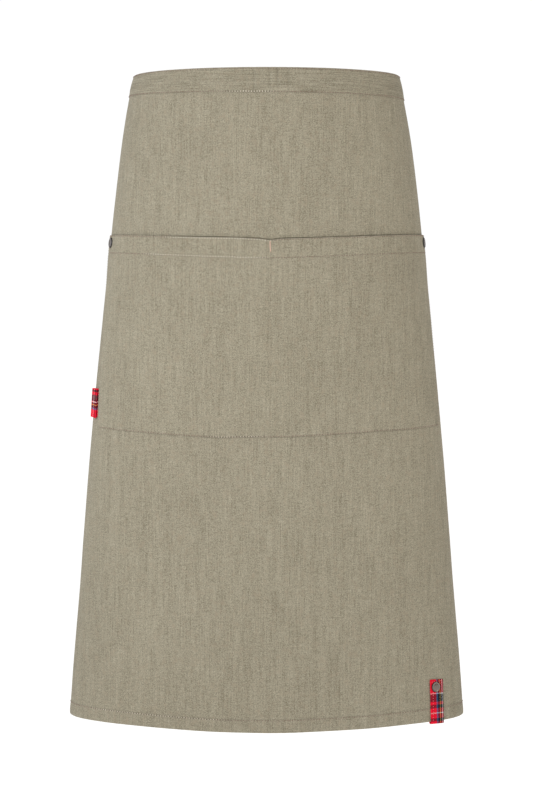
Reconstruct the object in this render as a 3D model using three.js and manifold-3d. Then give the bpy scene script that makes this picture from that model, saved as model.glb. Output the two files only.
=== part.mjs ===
import * as THREE from "three";
import { mergeVertices } from "three/addons/utils/BufferGeometryUtils.js";
import { RoundedBoxGeometry } from "three/addons/geometries/RoundedBoxGeometry.js";
import Module from "manifold-3d";

const wasm = await Module();
wasm.setup();

// Sizes in millimetres
// The origin is the middle of the waist ring, the front faces -Y and the apron hangs down along -Z.
// The waist's half width and depth give the ring's form, and the cloth, ties and knot give its length.
const waistHalfWidth = 159;
const waistDepth = 98;
const hemHalfWidth = 238.6;
const hemFrontDepth = 92;
const hemBackDepth = 150;
const sideRise = 13;
const foldDepth = 2;

// Cloth
const clothWidth = 760;
const clothTurn = 4;
const clothThickness = 1;
const seamClearance = 0.3;
const skirtDrop = 753;
const hemHeight = 14.4;
const sideHemWidth = 10;

// Waistband
const bandHeight = 28;
const bandGrip = 8;
const bandWall = 1;

// Pocket, measured from the waistband's top edge and from the apron's centre line
const pocketDrop = 200.5;
const pocketHeight = 235;
const pocketHalfWidth = 225.5;
const pocketHemHeight = 20.5;
const pocketGape = 1.1;
const pocketDip = 1.4;

// Rivets
const rivetRadius = 6.4;
const rivetHeight = 2.1;
const rivetBackRadius = 5;
const rivetBackThickness = 1;
const rivetPostRadius = 1.5;
const rivetHoleClearance = 0.3;
const pocketRivetInset = 10.5;
const pocketRivetDrop = 9.5;

// Checked ribbon of the side loop and the hem tab
const ribbonThickness = 1;
const loopHeight = 36;
const loopReach = 15;
const loopLift = 47.5;
const tabWidth = 21;
const tabLength = 48;
const tabBackLength = 46;
const tabFromCentre = 207;
const tabRivetInset = 9.5;

// Ties
const tieWidth = 26;
const tieThickness = 1.6;
const tieGather = 15;
const tieSpan = 14.4;
const knotWidth = 30;
const knotHeight = 24;
const knotDepth = 15;
const tailWidth = 22;
const tailLength = 280;
const tailThickness = 1.4;

// The longest steps between points, on the flatter stretches, round the sides and down the cloth
const flatPitch = 26;
const sidePitch = 11;
const rowPitch = 40;
const bendMargin = 30;
const rivetSegments = 24;

// The skirt's levels: how far down each is, as a share of the whole drop, how much of the change from
// the waist's to the hem's width and depth it has, and the rise of its left and right sides
const levels = [
  { down: 0, width: 0, front: 0, back: 0, left: 0, right: 0 },
  { down: 0.036, width: 0.075, front: 0.02, back: 0.05, left: 0.25, right: -0.04 },
  { down: 0.1, width: 0.178, front: 0.08, back: 0.2, left: 0.38, right: 0.25 },
  { down: 0.2, width: 0.298, front: 0.16, back: 0.42, left: 0.54, right: 0.54 },
  { down: 0.3, width: 0.398, front: 0.26, back: 0.6, left: 0.68, right: 0.72 },
  { down: 0.4, width: 0.5, front: 0.37, back: 0.7, left: 0.8, right: 0.88 },
  { down: 0.5, width: 0.598, front: 0.48, back: 0.78, left: 0.9, right: 1 },
  { down: 0.6, width: 0.685, front: 0.6, back: 0.84, left: 0.94, right: 1.02 },
  { down: 0.7, width: 0.765, front: 0.71, back: 0.89, left: 0.93, right: 0.98 },
  { down: 0.8, width: 0.84, front: 0.81, back: 0.93, left: 0.88, right: 0.92 },
  { down: 0.9, width: 0.925, front: 0.91, back: 0.97, left: 0.84, right: 0.86 },
  { down: 1, width: 1, front: 1, back: 1, left: 0.77, right: 0.77 },
];

// The soft folds: where each crest starts and ends, as shares of the whole drop, where it lies at its
// start, middle and end, as shares of half the cloth's width, its width as such a share, and its depth
const folds = [
  { from: 0.05, to: 0.27, start: -0.07, middle: -0.065, end: -0.06, width: 0.1, depth: 0.6 },
  { from: 0.57, to: 1, start: -0.5, middle: -0.5, end: -0.51, width: 0.06, depth: 0.4 },
  { from: 0.56, to: 1, start: -0.02, middle: -0.13, end: -0.2, width: 0.085, depth: 1 },
  { from: 0.58, to: 1, start: 0.09, middle: 0.07, end: 0.05, width: 0.06, depth: 0.6 },
  { from: 0.56, to: 1, start: 0.52, middle: 0.34, end: 0.31, width: 0.075, depth: 1 },
  { from: 0.3, to: 1, start: -0.9, middle: -0.9, end: -0.88, width: 0.08, depth: 2.4 },
  { from: 0.3, to: 1, start: 0.9, middle: 0.9, end: 0.88, width: 0.08, depth: 2.4 },
];

const fullDrop = bandHeight + skirtDrop;
const waistTop = bandHeight / 2;
const clothLeft = clothTurn - clothWidth / 2;
const clothRight = clothTurn + clothWidth / 2;
const clothFace = clothThickness / 2;
const pocketLeft = clothTurn - pocketHalfWidth;
const pocketRight = clothTurn + pocketHalfWidth;
const pocketEnd = pocketDrop + pocketHeight;
const loopDrop = pocketEnd - loopLift;
const tabMiddle = clothTurn + tabFromCentre;
const tabLeft = tabMiddle - tabWidth / 2;
const tabRight = tabMiddle + tabWidth / 2;
const quarterSteps = 120;
const ringLength = clothWidth + knotWidth + tieSpan * 2;

// A column of the levels' table as a smooth curve
function levelCurve(column) {
  const places = levels.map((level) => level.down);
  const values = levels.map((level) => level[column]);
  return new THREE.CubicInterpolant(places, values, 1);
}

const curves = {
  width: levelCurve("width"),
  front: levelCurve("front"),
  back: levelCurve("back"),
  left: levelCurve("left"),
  right: levelCurve("right"),
};

function between(start, end, share) {
  return start + (end - start) * share;
}

function eased(value, start, end) {
  return THREE.MathUtils.smoothstep(value, start, end);
}

// Lengths along a quarter of an oval, from its middle towards its side
function quarterLengths(half, depth) {
  const turn = Math.PI / 2 / quarterSteps;
  const lengths = [0];
  for (let step = 0; step < quarterSteps; step += 1) {
    const angle = (step + 0.5) * turn;
    const length = turn * Math.hypot(half * Math.cos(angle), depth * Math.sin(angle));
    lengths.push(lengths[step] + length);
  }
  return lengths;
}

function angleAlong(lengths, length) {
  const wanted = THREE.MathUtils.clamp(length, 0, lengths[quarterSteps]);
  let step = 1;
  while (step < quarterSteps && lengths[step] < wanted) {
    step += 1;
  }
  const share = (wanted - lengths[step - 1]) / (lengths[step] - lengths[step - 1]);
  return ((step - 1 + share) / quarterSteps) * (Math.PI / 2);
}

const plainRing = quarterLengths(waistHalfWidth, waistDepth)[quarterSteps] * 4;
const ringHalfWidth = (waistHalfWidth * ringLength) / plainRing;
const ringDepth = (waistDepth * ringLength) / plainRing;
const ovals = new Map();

// The oval that the cloth follows at a drop below the waistband's top edge
function ovalAt(drop) {
  if (!ovals.has(drop)) {
    const down = THREE.MathUtils.clamp(drop / fullDrop, 0, 1);
    const half = between(ringHalfWidth, hemHalfWidth, curves.width.evaluate(down)[0]);
    const front = between(ringDepth, hemFrontDepth, curves.front.evaluate(down)[0]);
    const back = between(ringDepth, hemBackDepth, curves.back.evaluate(down)[0]);
    ovals.set(drop, {
      half,
      front,
      back,
      left: sideRise * curves.left.evaluate(down)[0],
      right: sideRise * curves.right.evaluate(down)[0],
      frontLengths: quarterLengths(half, front),
      backLengths: quarterLengths(half, back),
    });
  }
  return ovals.get(drop);
}

// How far the folds push the cloth outwards
function foldAt(along, drop) {
  const down = drop / fullDrop;
  const place = (along - clothTurn) / (clothWidth / 2);
  let out = 0;
  for (const fold of folds) {
    const share = THREE.MathUtils.clamp((down - fold.from) / (fold.to - fold.from), 0, 1);
    const first = between(fold.start, fold.middle, Math.min(share * 2, 1));
    const crest = between(first, fold.end, Math.max(share * 2 - 1, 0));
    const strength = eased(down, fold.from, fold.from + 0.12);
    const fading = fold.to < 1 ? 1 - eased(down, fold.to - 0.1, fold.to) : 1;
    const away = (place - crest) / fold.width;
    out += foldDepth * fold.depth * strength * fading * Math.exp(-away * away);
  }
  return out;
}

// A point of the cloth: a length along it from the front's middle, a drop below the waistband's top
// edge, and a distance outwards from the middle of the cloth's thickness
function onCloth(along, drop, out) {
  const oval = ovalAt(drop);
  const side = along < 0 ? -1 : 1;
  const length = Math.abs(along);
  const toSide = oval.frontLengths[quarterSteps];
  const toBack = toSide + oval.backLengths[quarterSteps];
  const inFront = length <= toSide;
  const lengths = inFront ? oval.frontLengths : oval.backLengths;
  const angle = angleAlong(lengths, inFront ? length : toBack - length);
  const depth = inFront ? -oval.front : oval.back;
  const x = side * oval.half * Math.sin(angle);
  const y = depth * Math.cos(angle);
  const outwards = new THREE.Vector2(x / oval.half ** 2, y / depth ** 2).normalize();
  const offset = out + foldAt(along, drop);
  const rise = (side < 0 ? oval.left : oval.right) * Math.sin(angle) ** 1.5;
  return new THREE.Vector3(
    x + outwards.x * offset,
    y + outwards.y * offset,
    waistTop - drop + rise,
  );
}

// The cloth's directions at a point, to the right, outwards and up, as a frame
function frameAt(along, drop, out) {
  const right = onCloth(along + 1, drop, out).sub(onCloth(along - 1, drop, out)).normalize();
  const up = onCloth(along, drop - 1, out).sub(onCloth(along, drop + 1, out)).normalize();
  const outwards = right.clone().cross(up).normalize();
  const straightUp = outwards.clone().cross(right).normalize();
  return { at: onCloth(along, drop, out), right, outwards, up: straightUp };
}

function solidFrom(points, faces) {
  const places = new Float32Array(points.flatMap((point) => [point.x, point.y, point.z]));
  const corners = new Uint32Array(faces.flat());
  return new wasm.Manifold(
    new wasm.Mesh({ numProp: 3, vertProperties: places, triVerts: corners }),
  );
}

function solidFromGeometry(geometry, matrix) {
  const bare = new THREE.BufferGeometry();
  bare.setAttribute("position", geometry.getAttribute("position").clone());
  bare.setIndex(geometry.getIndex());
  const merged = mergeVertices(bare, 0.0001);
  merged.applyMatrix4(matrix);
  const places = merged.getAttribute("position");
  const index = merged.getIndex();
  const points = [];
  for (let i = 0; i < places.count; i += 1) {
    points.push(new THREE.Vector3().fromBufferAttribute(places, i));
  }
  const faces = [];
  for (let i = 0; i < index.count; i += 3) {
    const face = [index.getX(i), index.getX(i + 1), index.getX(i + 2)];
    if (new Set(face).size === 3) {
      faces.push(face);
    }
  }
  return solidFrom(points, faces);
}

// A sheet with an outer and an inner side, each a grid of points, closed round its edges
function sheet(across, downs, outer, inner) {
  const wide = across.length;
  const tall = downs.length;
  const layer = wide * tall;
  const points = [];
  for (const side of [outer, inner]) {
    for (const drop of downs) {
      for (const along of across) {
        points.push(side(along, drop));
      }
    }
  }
  const faces = [];
  for (let row = 0; row + 1 < tall; row += 1) {
    for (let column = 0; column + 1 < wide; column += 1) {
      const a = row * wide + column;
      const b = a + 1;
      const c = a + wide;
      const d = c + 1;
      faces.push([a, c, b], [b, c, d]);
      faces.push([layer + a, layer + b, layer + c], [layer + b, layer + d, layer + c]);
    }
  }
  const rim = [];
  for (let column = 0; column + 1 < wide; column += 1) {
    rim.push([column, column + 1]);
    rim.push([layer - 1 - column, layer - 2 - column]);
  }
  for (let row = 0; row + 1 < tall; row += 1) {
    rim.push([(row + 1) * wide, row * wide]);
    rim.push([(row + 1) * wide - 1, (row + 2) * wide - 1]);
  }
  for (const [first, second] of rim) {
    faces.push([first, second, layer + first], [second, layer + second, layer + first]);
  }
  return solidFrom(points, faces);
}

// A section of out and drop values, carried along the cloth and closed at both ends
function sweep(across, section) {
  const size = section.length;
  const points = [];
  for (const along of across) {
    for (const [out, drop] of section) {
      points.push(onCloth(along, drop, out));
    }
  }
  const faces = [];
  for (let column = 0; column + 1 < across.length; column += 1) {
    for (let k = 0; k < size; k += 1) {
      const next = (k + 1) % size;
      const a = column * size + k;
      const b = column * size + next;
      if (section[next][1] < section[k][1]) {
        faces.push([a, a + size, b + size], [a, b + size, b]);
      } else {
        faces.push([a, a + size, b], [b, a + size, b + size]);
      }
    }
  }
  const outline = section.map(([out, drop]) => new THREE.Vector2(out, drop));
  const last = (across.length - 1) * size;
  for (const [a, b, c] of THREE.ShapeUtils.triangulateShape(outline, [])) {
    const area = THREE.ShapeUtils.area([outline[a], outline[b], outline[c]]);
    const [p, q, r] = area > 0 ? [a, b, c] : [a, c, b];
    faces.push([p, r, q], [last + p, last + q, last + r]);
  }
  return solidFrom(points, faces);
}

// A solid turned about an axis from a profile of radius and height that starts and ends on the axis
function turned(profile, frame) {
  const points = [];
  const faces = [];
  const rings = profile.length - 2;
  const ringPoint = (radius, height, turn) =>
    frame.at
      .clone()
      .addScaledVector(frame.right, radius * Math.cos(turn))
      .addScaledVector(frame.up, radius * Math.sin(turn))
      .addScaledVector(frame.outwards, height);
  for (const [radius, height] of profile.slice(1, -1)) {
    for (let k = 0; k < rivetSegments; k += 1) {
      points.push(ringPoint(radius, height, (k / rivetSegments) * Math.PI * 2));
    }
  }
  const bottom = points.push(ringPoint(0, profile[0][1], 0)) - 1;
  const top = points.push(ringPoint(0, profile[rings + 1][1], 0)) - 1;
  for (let k = 0; k < rivetSegments; k += 1) {
    const next = (k + 1) % rivetSegments;
    faces.push([bottom, next, k]);
    for (let ring = 0; ring + 1 < rings; ring += 1) {
      const low = ring * rivetSegments;
      const high = low + rivetSegments;
      faces.push([low + k, low + next, high + k], [low + next, high + next, high + k]);
    }
    const rim = (rings - 1) * rivetSegments;
    faces.push([top, rim + k, rim + next]);
  }
  return solidFrom(points, faces);
}

// Places from mark to mark, with no step longer than the pitch there
function stepped(marks, pitchAt) {
  const sorted = [...marks].sort((a, b) => a - b);
  const places = [];
  for (let k = 0; k + 1 < sorted.length; k += 1) {
    const start = sorted[k];
    const span = sorted[k + 1] - start;
    const count = Math.ceil(span / pitchAt(start + span / 2));
    for (let step = 0; step < count; step += 1) {
      places.push(start + (span * step) / count);
    }
  }
  places.push(sorted[sorted.length - 1]);
  return places;
}

const waistSide = ovalAt(bandHeight).frontLengths[quarterSteps];
const hemSide = ovalAt(fullDrop).frontLengths[quarterSteps];

const bendStart = waistSide - bendMargin;
const bendEnd = hemSide + bendMargin;

function acrossPitch(along) {
  const bends = Math.abs(along) > bendStart && Math.abs(along) < bendEnd;
  return bends ? sidePitch : flatPitch;
}

const across = stepped(
  [
    clothLeft,
    clothLeft + sideHemWidth,
    clothLeft + sideHemWidth + 1,
    -bendEnd,
    pocketLeft,
    -bendStart,
    clothTurn,
    bendStart,
    tabLeft,
    tabRight,
    pocketRight,
    bendEnd,
    clothRight - sideHemWidth - 1,
    clothRight - sideHemWidth,
    clothRight,
  ],
  acrossPitch,
);
const panelTop = bandHeight - bandGrip + seamClearance;
const sideHemTop = bandHeight + seamClearance + clothThickness * 2;
const hemStart = fullDrop - hemHeight;
const pocketHemEnd = pocketDrop + pocketHemHeight;
const downs = stepped(
  [
    panelTop,
    sideHemTop - 1,
    sideHemTop,
    pocketDrop,
    pocketHemEnd,
    pocketHemEnd + 1,
    pocketEnd,
    hemStart - 1,
    hemStart,
    fullDrop,
  ],
  () => rowPitch,
);

// The folded hems are a second layer on the inside
function bodyInside(along, drop) {
  const fromSide = Math.min(along - clothLeft, clothRight - along);
  const folded = (fromSide <= sideHemWidth && drop >= sideHemTop) || drop >= hemStart;
  return onCloth(along, drop, -clothFace - (folded ? clothThickness : 0));
}

let body = sheet(across, downs, (along, drop) => onCloth(along, drop, clothFace), bodyInside);

// The band grips the panel's top edge between its two walls
const slotFace = clothFace + seamClearance;
const bandFace = slotFace + bandWall;
const slotTop = bandHeight - bandGrip;
const waistband = sweep(across, [
  [bandFace, bandHeight],
  [bandFace, bandHeight / 2],
  [bandFace, bandFace * 1.1],
  [bandFace * 0.8, bandFace * 0.35],
  [0, 0],
  [-bandFace * 0.8, bandFace * 0.35],
  [-bandFace, bandFace * 1.1],
  [-bandFace, bandHeight / 2],
  [-bandFace, bandHeight],
  [-slotFace, bandHeight],
  [-slotFace, slotTop],
  [slotFace, slotTop],
  [slotFace, bandHeight],
]);

// The pocket is held at its sides and in the middle, and stands off a little between them at the top
function pocketSlack(along) {
  const fromMiddle = Math.abs(along - clothTurn) / pocketHalfWidth;
  return Math.sin(Math.min(fromMiddle, 1) * Math.PI) ** 2;
}

function pocketOut(along, drop) {
  const down = (drop - pocketDrop) / pocketHeight;
  const gape = pocketGape * pocketSlack(along) * (1 - eased(down, 0, 0.3));
  const hem = clothThickness * (1 - eased(down, 0.09, 0.3));
  return clothFace + seamClearance + clothThickness + hem + gape;
}

// The bar tack pulls the top edge down a little in the middle
function pocketLevel(along, drop) {
  const near = Math.abs(along - clothTurn) / (pocketHalfWidth * 0.12);
  const pull = pocketDip * Math.exp(-near * near);
  return drop + pull * (1 - eased(drop, pocketDrop, pocketHemEnd));
}

function pocketOutside(along, drop) {
  return onCloth(along, pocketLevel(along, drop), pocketOut(along, drop));
}

function pocketInside(along, drop) {
  const layers = drop <= pocketHemEnd ? 2 : 1;
  return onCloth(
    along,
    pocketLevel(along, drop),
    pocketOut(along, drop) - layers * clothThickness,
  );
}

const pocketAcross = across.filter((along) => along >= pocketLeft && along <= pocketRight);
const pocketDowns = downs.filter((drop) => drop >= pocketDrop && drop <= pocketEnd);
let pocket = sheet(pocketAcross, pocketDowns, pocketOutside, pocketInside);

// A rivet has a rimmed cap, a post through the layers and a flat back
function rivet(frame, stack) {
  const lift = seamClearance;
  const back = -stack - seamClearance * 3;
  const r = rivetRadius;
  const h = rivetHeight;
  return turned(
    [
      [0, back - rivetBackThickness],
      [rivetBackRadius, back - rivetBackThickness],
      [rivetBackRadius, back],
      [rivetPostRadius, back],
      [rivetPostRadius, lift],
      [r * 0.94, lift],
      [r, lift + h * 0.25],
      [r * 0.96, lift + h * 0.6],
      [r * 0.84, lift + h * 0.8],
      [r * 0.68, lift + h * 0.6],
      [r * 0.56, lift + h * 0.62],
      [r * 0.36, lift + h * 0.88],
      [0, lift + h],
    ],
    frame,
  );
}

function rivetHole(frame, stack) {
  const radius = rivetPostRadius + rivetHoleClearance;
  const beyond = clothThickness * 3;
  return turned(
    [
      [0, -stack - beyond],
      [radius, -stack - beyond],
      [radius, beyond],
      [0, beyond],
    ],
    frame,
  );
}

const pocketRivetLevel = pocketDrop + pocketRivetDrop;
const leftRivetAlong = pocketLeft + pocketRivetInset;
const rightRivetAlong = pocketRight - pocketRivetInset;
const leftRivetOut = pocketOut(leftRivetAlong, pocketRivetLevel);
const rightRivetOut = pocketOut(rightRivetAlong, pocketRivetLevel);
const leftRivetFrame = frameAt(leftRivetAlong, pocketRivetLevel, leftRivetOut);
const rightRivetFrame = frameAt(rightRivetAlong, pocketRivetLevel, rightRivetOut);
const pocketRivetLeft = rivet(leftRivetFrame, leftRivetOut + clothFace);
const pocketRivetRight = rivet(rightRivetFrame, rightRivetOut + clothFace);
const leftRivetHole = rivetHole(leftRivetFrame, leftRivetOut + clothFace);
const rightRivetHole = rivetHole(rightRivetFrame, rightRivetOut + clothFace);
pocket = pocket.subtract(leftRivetHole).subtract(rightRivetHole);
body = body.subtract(leftRivetHole).subtract(rightRivetHole);

// The hem tab is a ribbon folded round the hem, with its rivet through both layers
const tabInner = clothFace + seamClearance;
const tabBack = tabInner + clothThickness;
const tabOuter = tabInner + ribbonThickness;
const tabMiddleOut = (tabInner - tabBack) / 2;
const tabTurn = fullDrop + seamClearance * 2;
const tabReach = (tabInner + tabBack) / 2 + ribbonThickness;
const tabAcross = across.filter((along) => along >= tabLeft && along <= tabRight);
let hemTab = sweep(tabAcross, [
  [tabMiddleOut, tabTurn + ribbonThickness + 0.6],
  [tabMiddleOut + tabReach * 0.75, tabTurn + ribbonThickness],
  [tabOuter, tabTurn - 0.6],
  [tabOuter, hemStart],
  [tabOuter, fullDrop - tabLength],
  [tabInner, fullDrop - tabLength],
  [tabInner, hemStart],
  [tabInner, tabTurn - 0.4],
  [tabMiddleOut, tabTurn + 0.4],
  [-tabBack, tabTurn - 0.4],
  [-tabBack, hemStart],
  [-tabBack, fullDrop - tabBackLength],
  [-tabBack - ribbonThickness, fullDrop - tabBackLength],
  [-tabBack - ribbonThickness, hemStart],
  [-tabBack - ribbonThickness, tabTurn - 0.6],
  [tabMiddleOut - tabReach * 0.75, tabTurn + ribbonThickness],
]);
const hemRivetFrame = frameAt(tabMiddle, fullDrop - tabLength + tabRivetInset, tabOuter);
const hemRivetStack = tabOuter + tabBack + ribbonThickness;
const hemRivet = rivet(hemRivetFrame, hemRivetStack);
const hemRivetHole = rivetHole(hemRivetFrame, hemRivetStack);
hemTab = hemTab.subtract(hemRivetHole);
body = body.subtract(hemRivetHole);

// The side loop stands straight out from the pocket's left edge, a folded ribbon with a flat slot
const loopInner = clothFace + seamClearance;
const loopSlot = 0.8;
const loopOuter = loopInner + ribbonThickness * 2 + loopSlot;
const loopCentre = (loopInner + loopOuter) / 2;
const loopBend = (loopOuter - loopInner) / 2;
const loopShape = new THREE.Shape();
loopShape.moveTo(seamClearance, loopInner);
loopShape.lineTo(loopReach - loopBend, loopInner);
loopShape.absarc(loopReach - loopBend, loopCentre, loopBend, -Math.PI / 2, Math.PI / 2);
loopShape.lineTo(seamClearance, loopOuter);
loopShape.closePath();
const slotShape = new THREE.Path();
slotShape.moveTo(ribbonThickness * 4, loopCentre - loopSlot / 2);
slotShape.lineTo(ribbonThickness * 4, loopCentre + loopSlot / 2);
slotShape.lineTo(loopReach - loopBend, loopCentre + loopSlot / 2);
slotShape.lineTo(loopReach - loopBend, loopCentre - loopSlot / 2);
slotShape.closePath();
loopShape.holes.push(slotShape);
const loopFrame = frameAt(pocketLeft, loopDrop + loopHeight / 2, 0);
const loopAway = loopFrame.right.clone().negate();
const loopTop = onCloth(pocketLeft, loopDrop, 0);
const loopFoot = onCloth(pocketLeft, loopDrop + loopHeight, 0);
const loopUp = loopTop.clone().sub(loopFoot).normalize();
const loopMatrix = new THREE.Matrix4()
  .makeBasis(loopAway, loopFrame.outwards, loopUp)
  .setPosition(loopFoot);
const loopGeometry = new THREE.ExtrudeGeometry(loopShape, {
  depth: loopHeight,
  steps: 1,
  bevelEnabled: false,
  curveSegments: 6,
});
const sideLoop = solidFromGeometry(loopGeometry, loopMatrix);

// The knot stands in the gap between the band's ends, at the back
const knotDrop = bandHeight / 2;
const knotAt = new THREE.Vector3(0, ovalAt(knotDrop).back + knotDepth / 4, waistTop - knotDrop);
const knotBox = new RoundedBoxGeometry(knotWidth, knotDepth, knotHeight, 3, knotDepth * 0.4);
const knotMatrix = new THREE.Matrix4().makeTranslation(knotAt);
const tieKnot = solidFromGeometry(knotBox, knotMatrix);

// Each tie runs on from an end of the band to the knot, and narrows as it gathers
function tie(side) {
  const start = (side < 0 ? -clothLeft : clothRight) + seamClearance;
  const shares = [0, 0.25, 0.5, 0.75, 1].map((share) => side * share);
  const place = (towards, level, out) => {
    const share = Math.abs(towards);
    const gathered = eased(share, 0, 1);
    const drop = knotDrop + (level * between(tieWidth, tieGather, gathered)) / 2;
    const oval = ovalAt(drop);
    const toBack = oval.frontLengths[quarterSteps] + oval.backLengths[quarterSteps];
    const end = toBack - knotWidth / 2 - seamClearance;
    const pleat = 1 + gathered * 0.6 * Math.cos(level * Math.PI * 2);
    return onCloth(side * between(start, end, share), drop, out * pleat);
  };
  return sheet(
    side < 0 ? shares.reverse() : shares,
    [-1, -0.5, 0, 0.5, 1],
    (towards, level) => place(towards, level, tieThickness / 2),
    (towards, level) => place(towards, level, -tieThickness / 2),
  );
}

const tieLeft = tie(-1);
const tieRight = tie(1);

// The two ends of the ties hang down from the knot, one before the other, and spread a little
function tail(side) {
  const top = knotAt.z - knotHeight / 2 - seamClearance;
  const middle = knotAt.y + side * tailThickness * 1.2;
  const place = (share, length, out) => {
    const down = length / tailLength;
    const half = between(tieGather, tailWidth, eased(down, 0, 0.3)) / 2;
    const spread = side * (2 + 16 * eased(down, 0, 0.8));
    const sway = side * 1.5 * eased(down, 0, 0.4) + 3 * Math.sin(down * Math.PI);
    return new THREE.Vector3(spread - share * half, middle + sway + out, top - length);
  };
  const rows = [0, 0.07, 0.15, 0.3, 0.45, 0.6, 0.8, 1].map((share) => share * tailLength);
  return sheet(
    [-1, 0, 1],
    rows,
    (share, length) => place(share, length, tailThickness / 2),
    (share, length) => place(share, length, -tailThickness / 2),
  );
}

const tailLeft = tail(-1);
const tailRight = tail(1);

const cloth = { color: 0xa0937a, roughness: 0.92, metalness: 0 };
const ribbon = { color: 0x7a2226, roughness: 0.85, metalness: 0 };
const gunmetal = { color: 0x57504a, roughness: 0.35, metalness: 0.9 };

const group = new THREE.Group();
group.name = "bistro_apron";

function addPiece(name, solid, look) {
  const mesh = solid.getMesh();
  const geometry = new THREE.BufferGeometry();
  geometry.setAttribute("position", new THREE.BufferAttribute(mesh.vertProperties, 3));
  geometry.setIndex(new THREE.BufferAttribute(mesh.triVerts, 1));
  geometry.computeVertexNormals();
  const piece = new THREE.Mesh(geometry, new THREE.MeshStandardMaterial(look));
  piece.name = name;
  group.add(piece);
}

addPiece("apron_body", body, cloth);
addPiece("waistband", waistband, cloth);
addPiece("pocket", pocket, cloth);
addPiece("pocket_rivet_left", pocketRivetLeft, gunmetal);
addPiece("pocket_rivet_right", pocketRivetRight, gunmetal);
addPiece("side_loop", sideLoop, ribbon);
addPiece("hem_tab", hemTab, ribbon);
addPiece("hem_rivet", hemRivet, gunmetal);
addPiece("tie_left", tieLeft, cloth);
addPiece("tie_right", tieRight, cloth);
addPiece("tie_knot", tieKnot, cloth);
addPiece("tie_tail_left", tailLeft, cloth);
addPiece("tie_tail_right", tailRight, cloth);

export default group;
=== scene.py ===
import math

import bpy
import numpy as np
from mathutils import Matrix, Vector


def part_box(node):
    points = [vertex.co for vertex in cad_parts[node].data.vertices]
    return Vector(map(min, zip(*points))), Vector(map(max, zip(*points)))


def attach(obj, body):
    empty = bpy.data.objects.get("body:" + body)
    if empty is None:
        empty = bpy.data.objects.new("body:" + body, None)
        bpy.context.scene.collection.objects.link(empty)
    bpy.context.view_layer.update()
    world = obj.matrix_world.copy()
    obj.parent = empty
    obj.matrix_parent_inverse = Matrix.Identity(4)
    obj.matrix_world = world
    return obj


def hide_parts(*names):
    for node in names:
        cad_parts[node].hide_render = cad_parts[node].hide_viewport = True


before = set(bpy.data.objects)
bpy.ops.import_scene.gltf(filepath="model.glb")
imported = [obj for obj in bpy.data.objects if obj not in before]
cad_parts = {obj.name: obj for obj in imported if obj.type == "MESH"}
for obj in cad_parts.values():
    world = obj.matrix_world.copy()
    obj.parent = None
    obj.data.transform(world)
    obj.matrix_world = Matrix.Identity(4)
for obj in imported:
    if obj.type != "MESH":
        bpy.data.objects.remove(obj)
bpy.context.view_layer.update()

bl_info = {
    "name": "Bistro apron",
    "version": (1, 0, 0),
    "blender": (4, 5, 0),
    "location": "View3D > Sidebar > Apron",
    "description": "Dresses the packed bistro apron with its cloth, stitches, ribbons and rivets",
    "category": "Object",
}

# The skirt's levels: share of the whole drop, share of the change in width, in the front's depth and in
# the back's depth, and the rise of the left and the right side
LEVELS = [
    (0, 0, 0, 0, 0, 0),
    (0.036, 0.075, 0.02, 0.05, 0.25, -0.04),
    (0.1, 0.178, 0.08, 0.2, 0.38, 0.25),
    (0.2, 0.298, 0.16, 0.42, 0.54, 0.54),
    (0.3, 0.398, 0.26, 0.6, 0.68, 0.72),
    (0.4, 0.5, 0.37, 0.7, 0.8, 0.88),
    (0.5, 0.598, 0.48, 0.78, 0.9, 1),
    (0.6, 0.685, 0.6, 0.84, 0.94, 1.02),
    (0.7, 0.765, 0.71, 0.89, 0.93, 0.98),
    (0.8, 0.84, 0.81, 0.93, 0.88, 0.92),
    (0.9, 0.925, 0.91, 0.97, 0.84, 0.86),
    (1, 1, 1, 1, 0.77, 0.77),
]

# The soft folds: start and end as shares of the whole drop, the crest's place at its start, middle and
# end and its width as shares of half the cloth's width, and its depth
FOLDS = [
    (0.05, 0.27, -0.07, -0.065, -0.06, 0.1, 0.6),
    (0.57, 1, -0.5, -0.5, -0.51, 0.06, 0.4),
    (0.56, 1, -0.02, -0.13, -0.2, 0.085, 1),
    (0.58, 1, 0.09, 0.07, 0.05, 0.06, 0.6),
    (0.56, 1, 0.52, 0.34, 0.31, 0.075, 1),
    (0.3, 1, -0.9, -0.9, -0.88, 0.08, 2.4),
    (0.3, 1, 0.9, 0.9, 0.88, 0.08, 2.4),
]

# Small ripples pressed into the worn cloth: place along it, first and last drop, width and height,
# all in millimetres
RIPPLES = [
    (-14.8, -10, 28, 1.9, -0.95),
    (3.4, -10, 28, 2.0, -1.1),
    (12.8, -10, 28, 1.9, -1.05),
    (25.2, -10, 28, 2.0, -0.95),
    (-66, -10, 30, 14, 0.3),
    (-128, -10, 30, 12, 0.35),
    (74, -10, 30, 16, 0.25),
    (136, -10, 30, 15, 0.3),
    (-72, 235, 420, 7, 0.25),
    (-58, 250, 430, 9, 0.2),
    (96, 240, 400, 10, 0.22),
]


# Where the bar tack and the worn cloth pull the pocket's top edge down: height, place and width
EDGE_PULLS = [(0.0013, 0.004, 0.0085), (-0.0008, -0.045, 0.04)]


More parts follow.
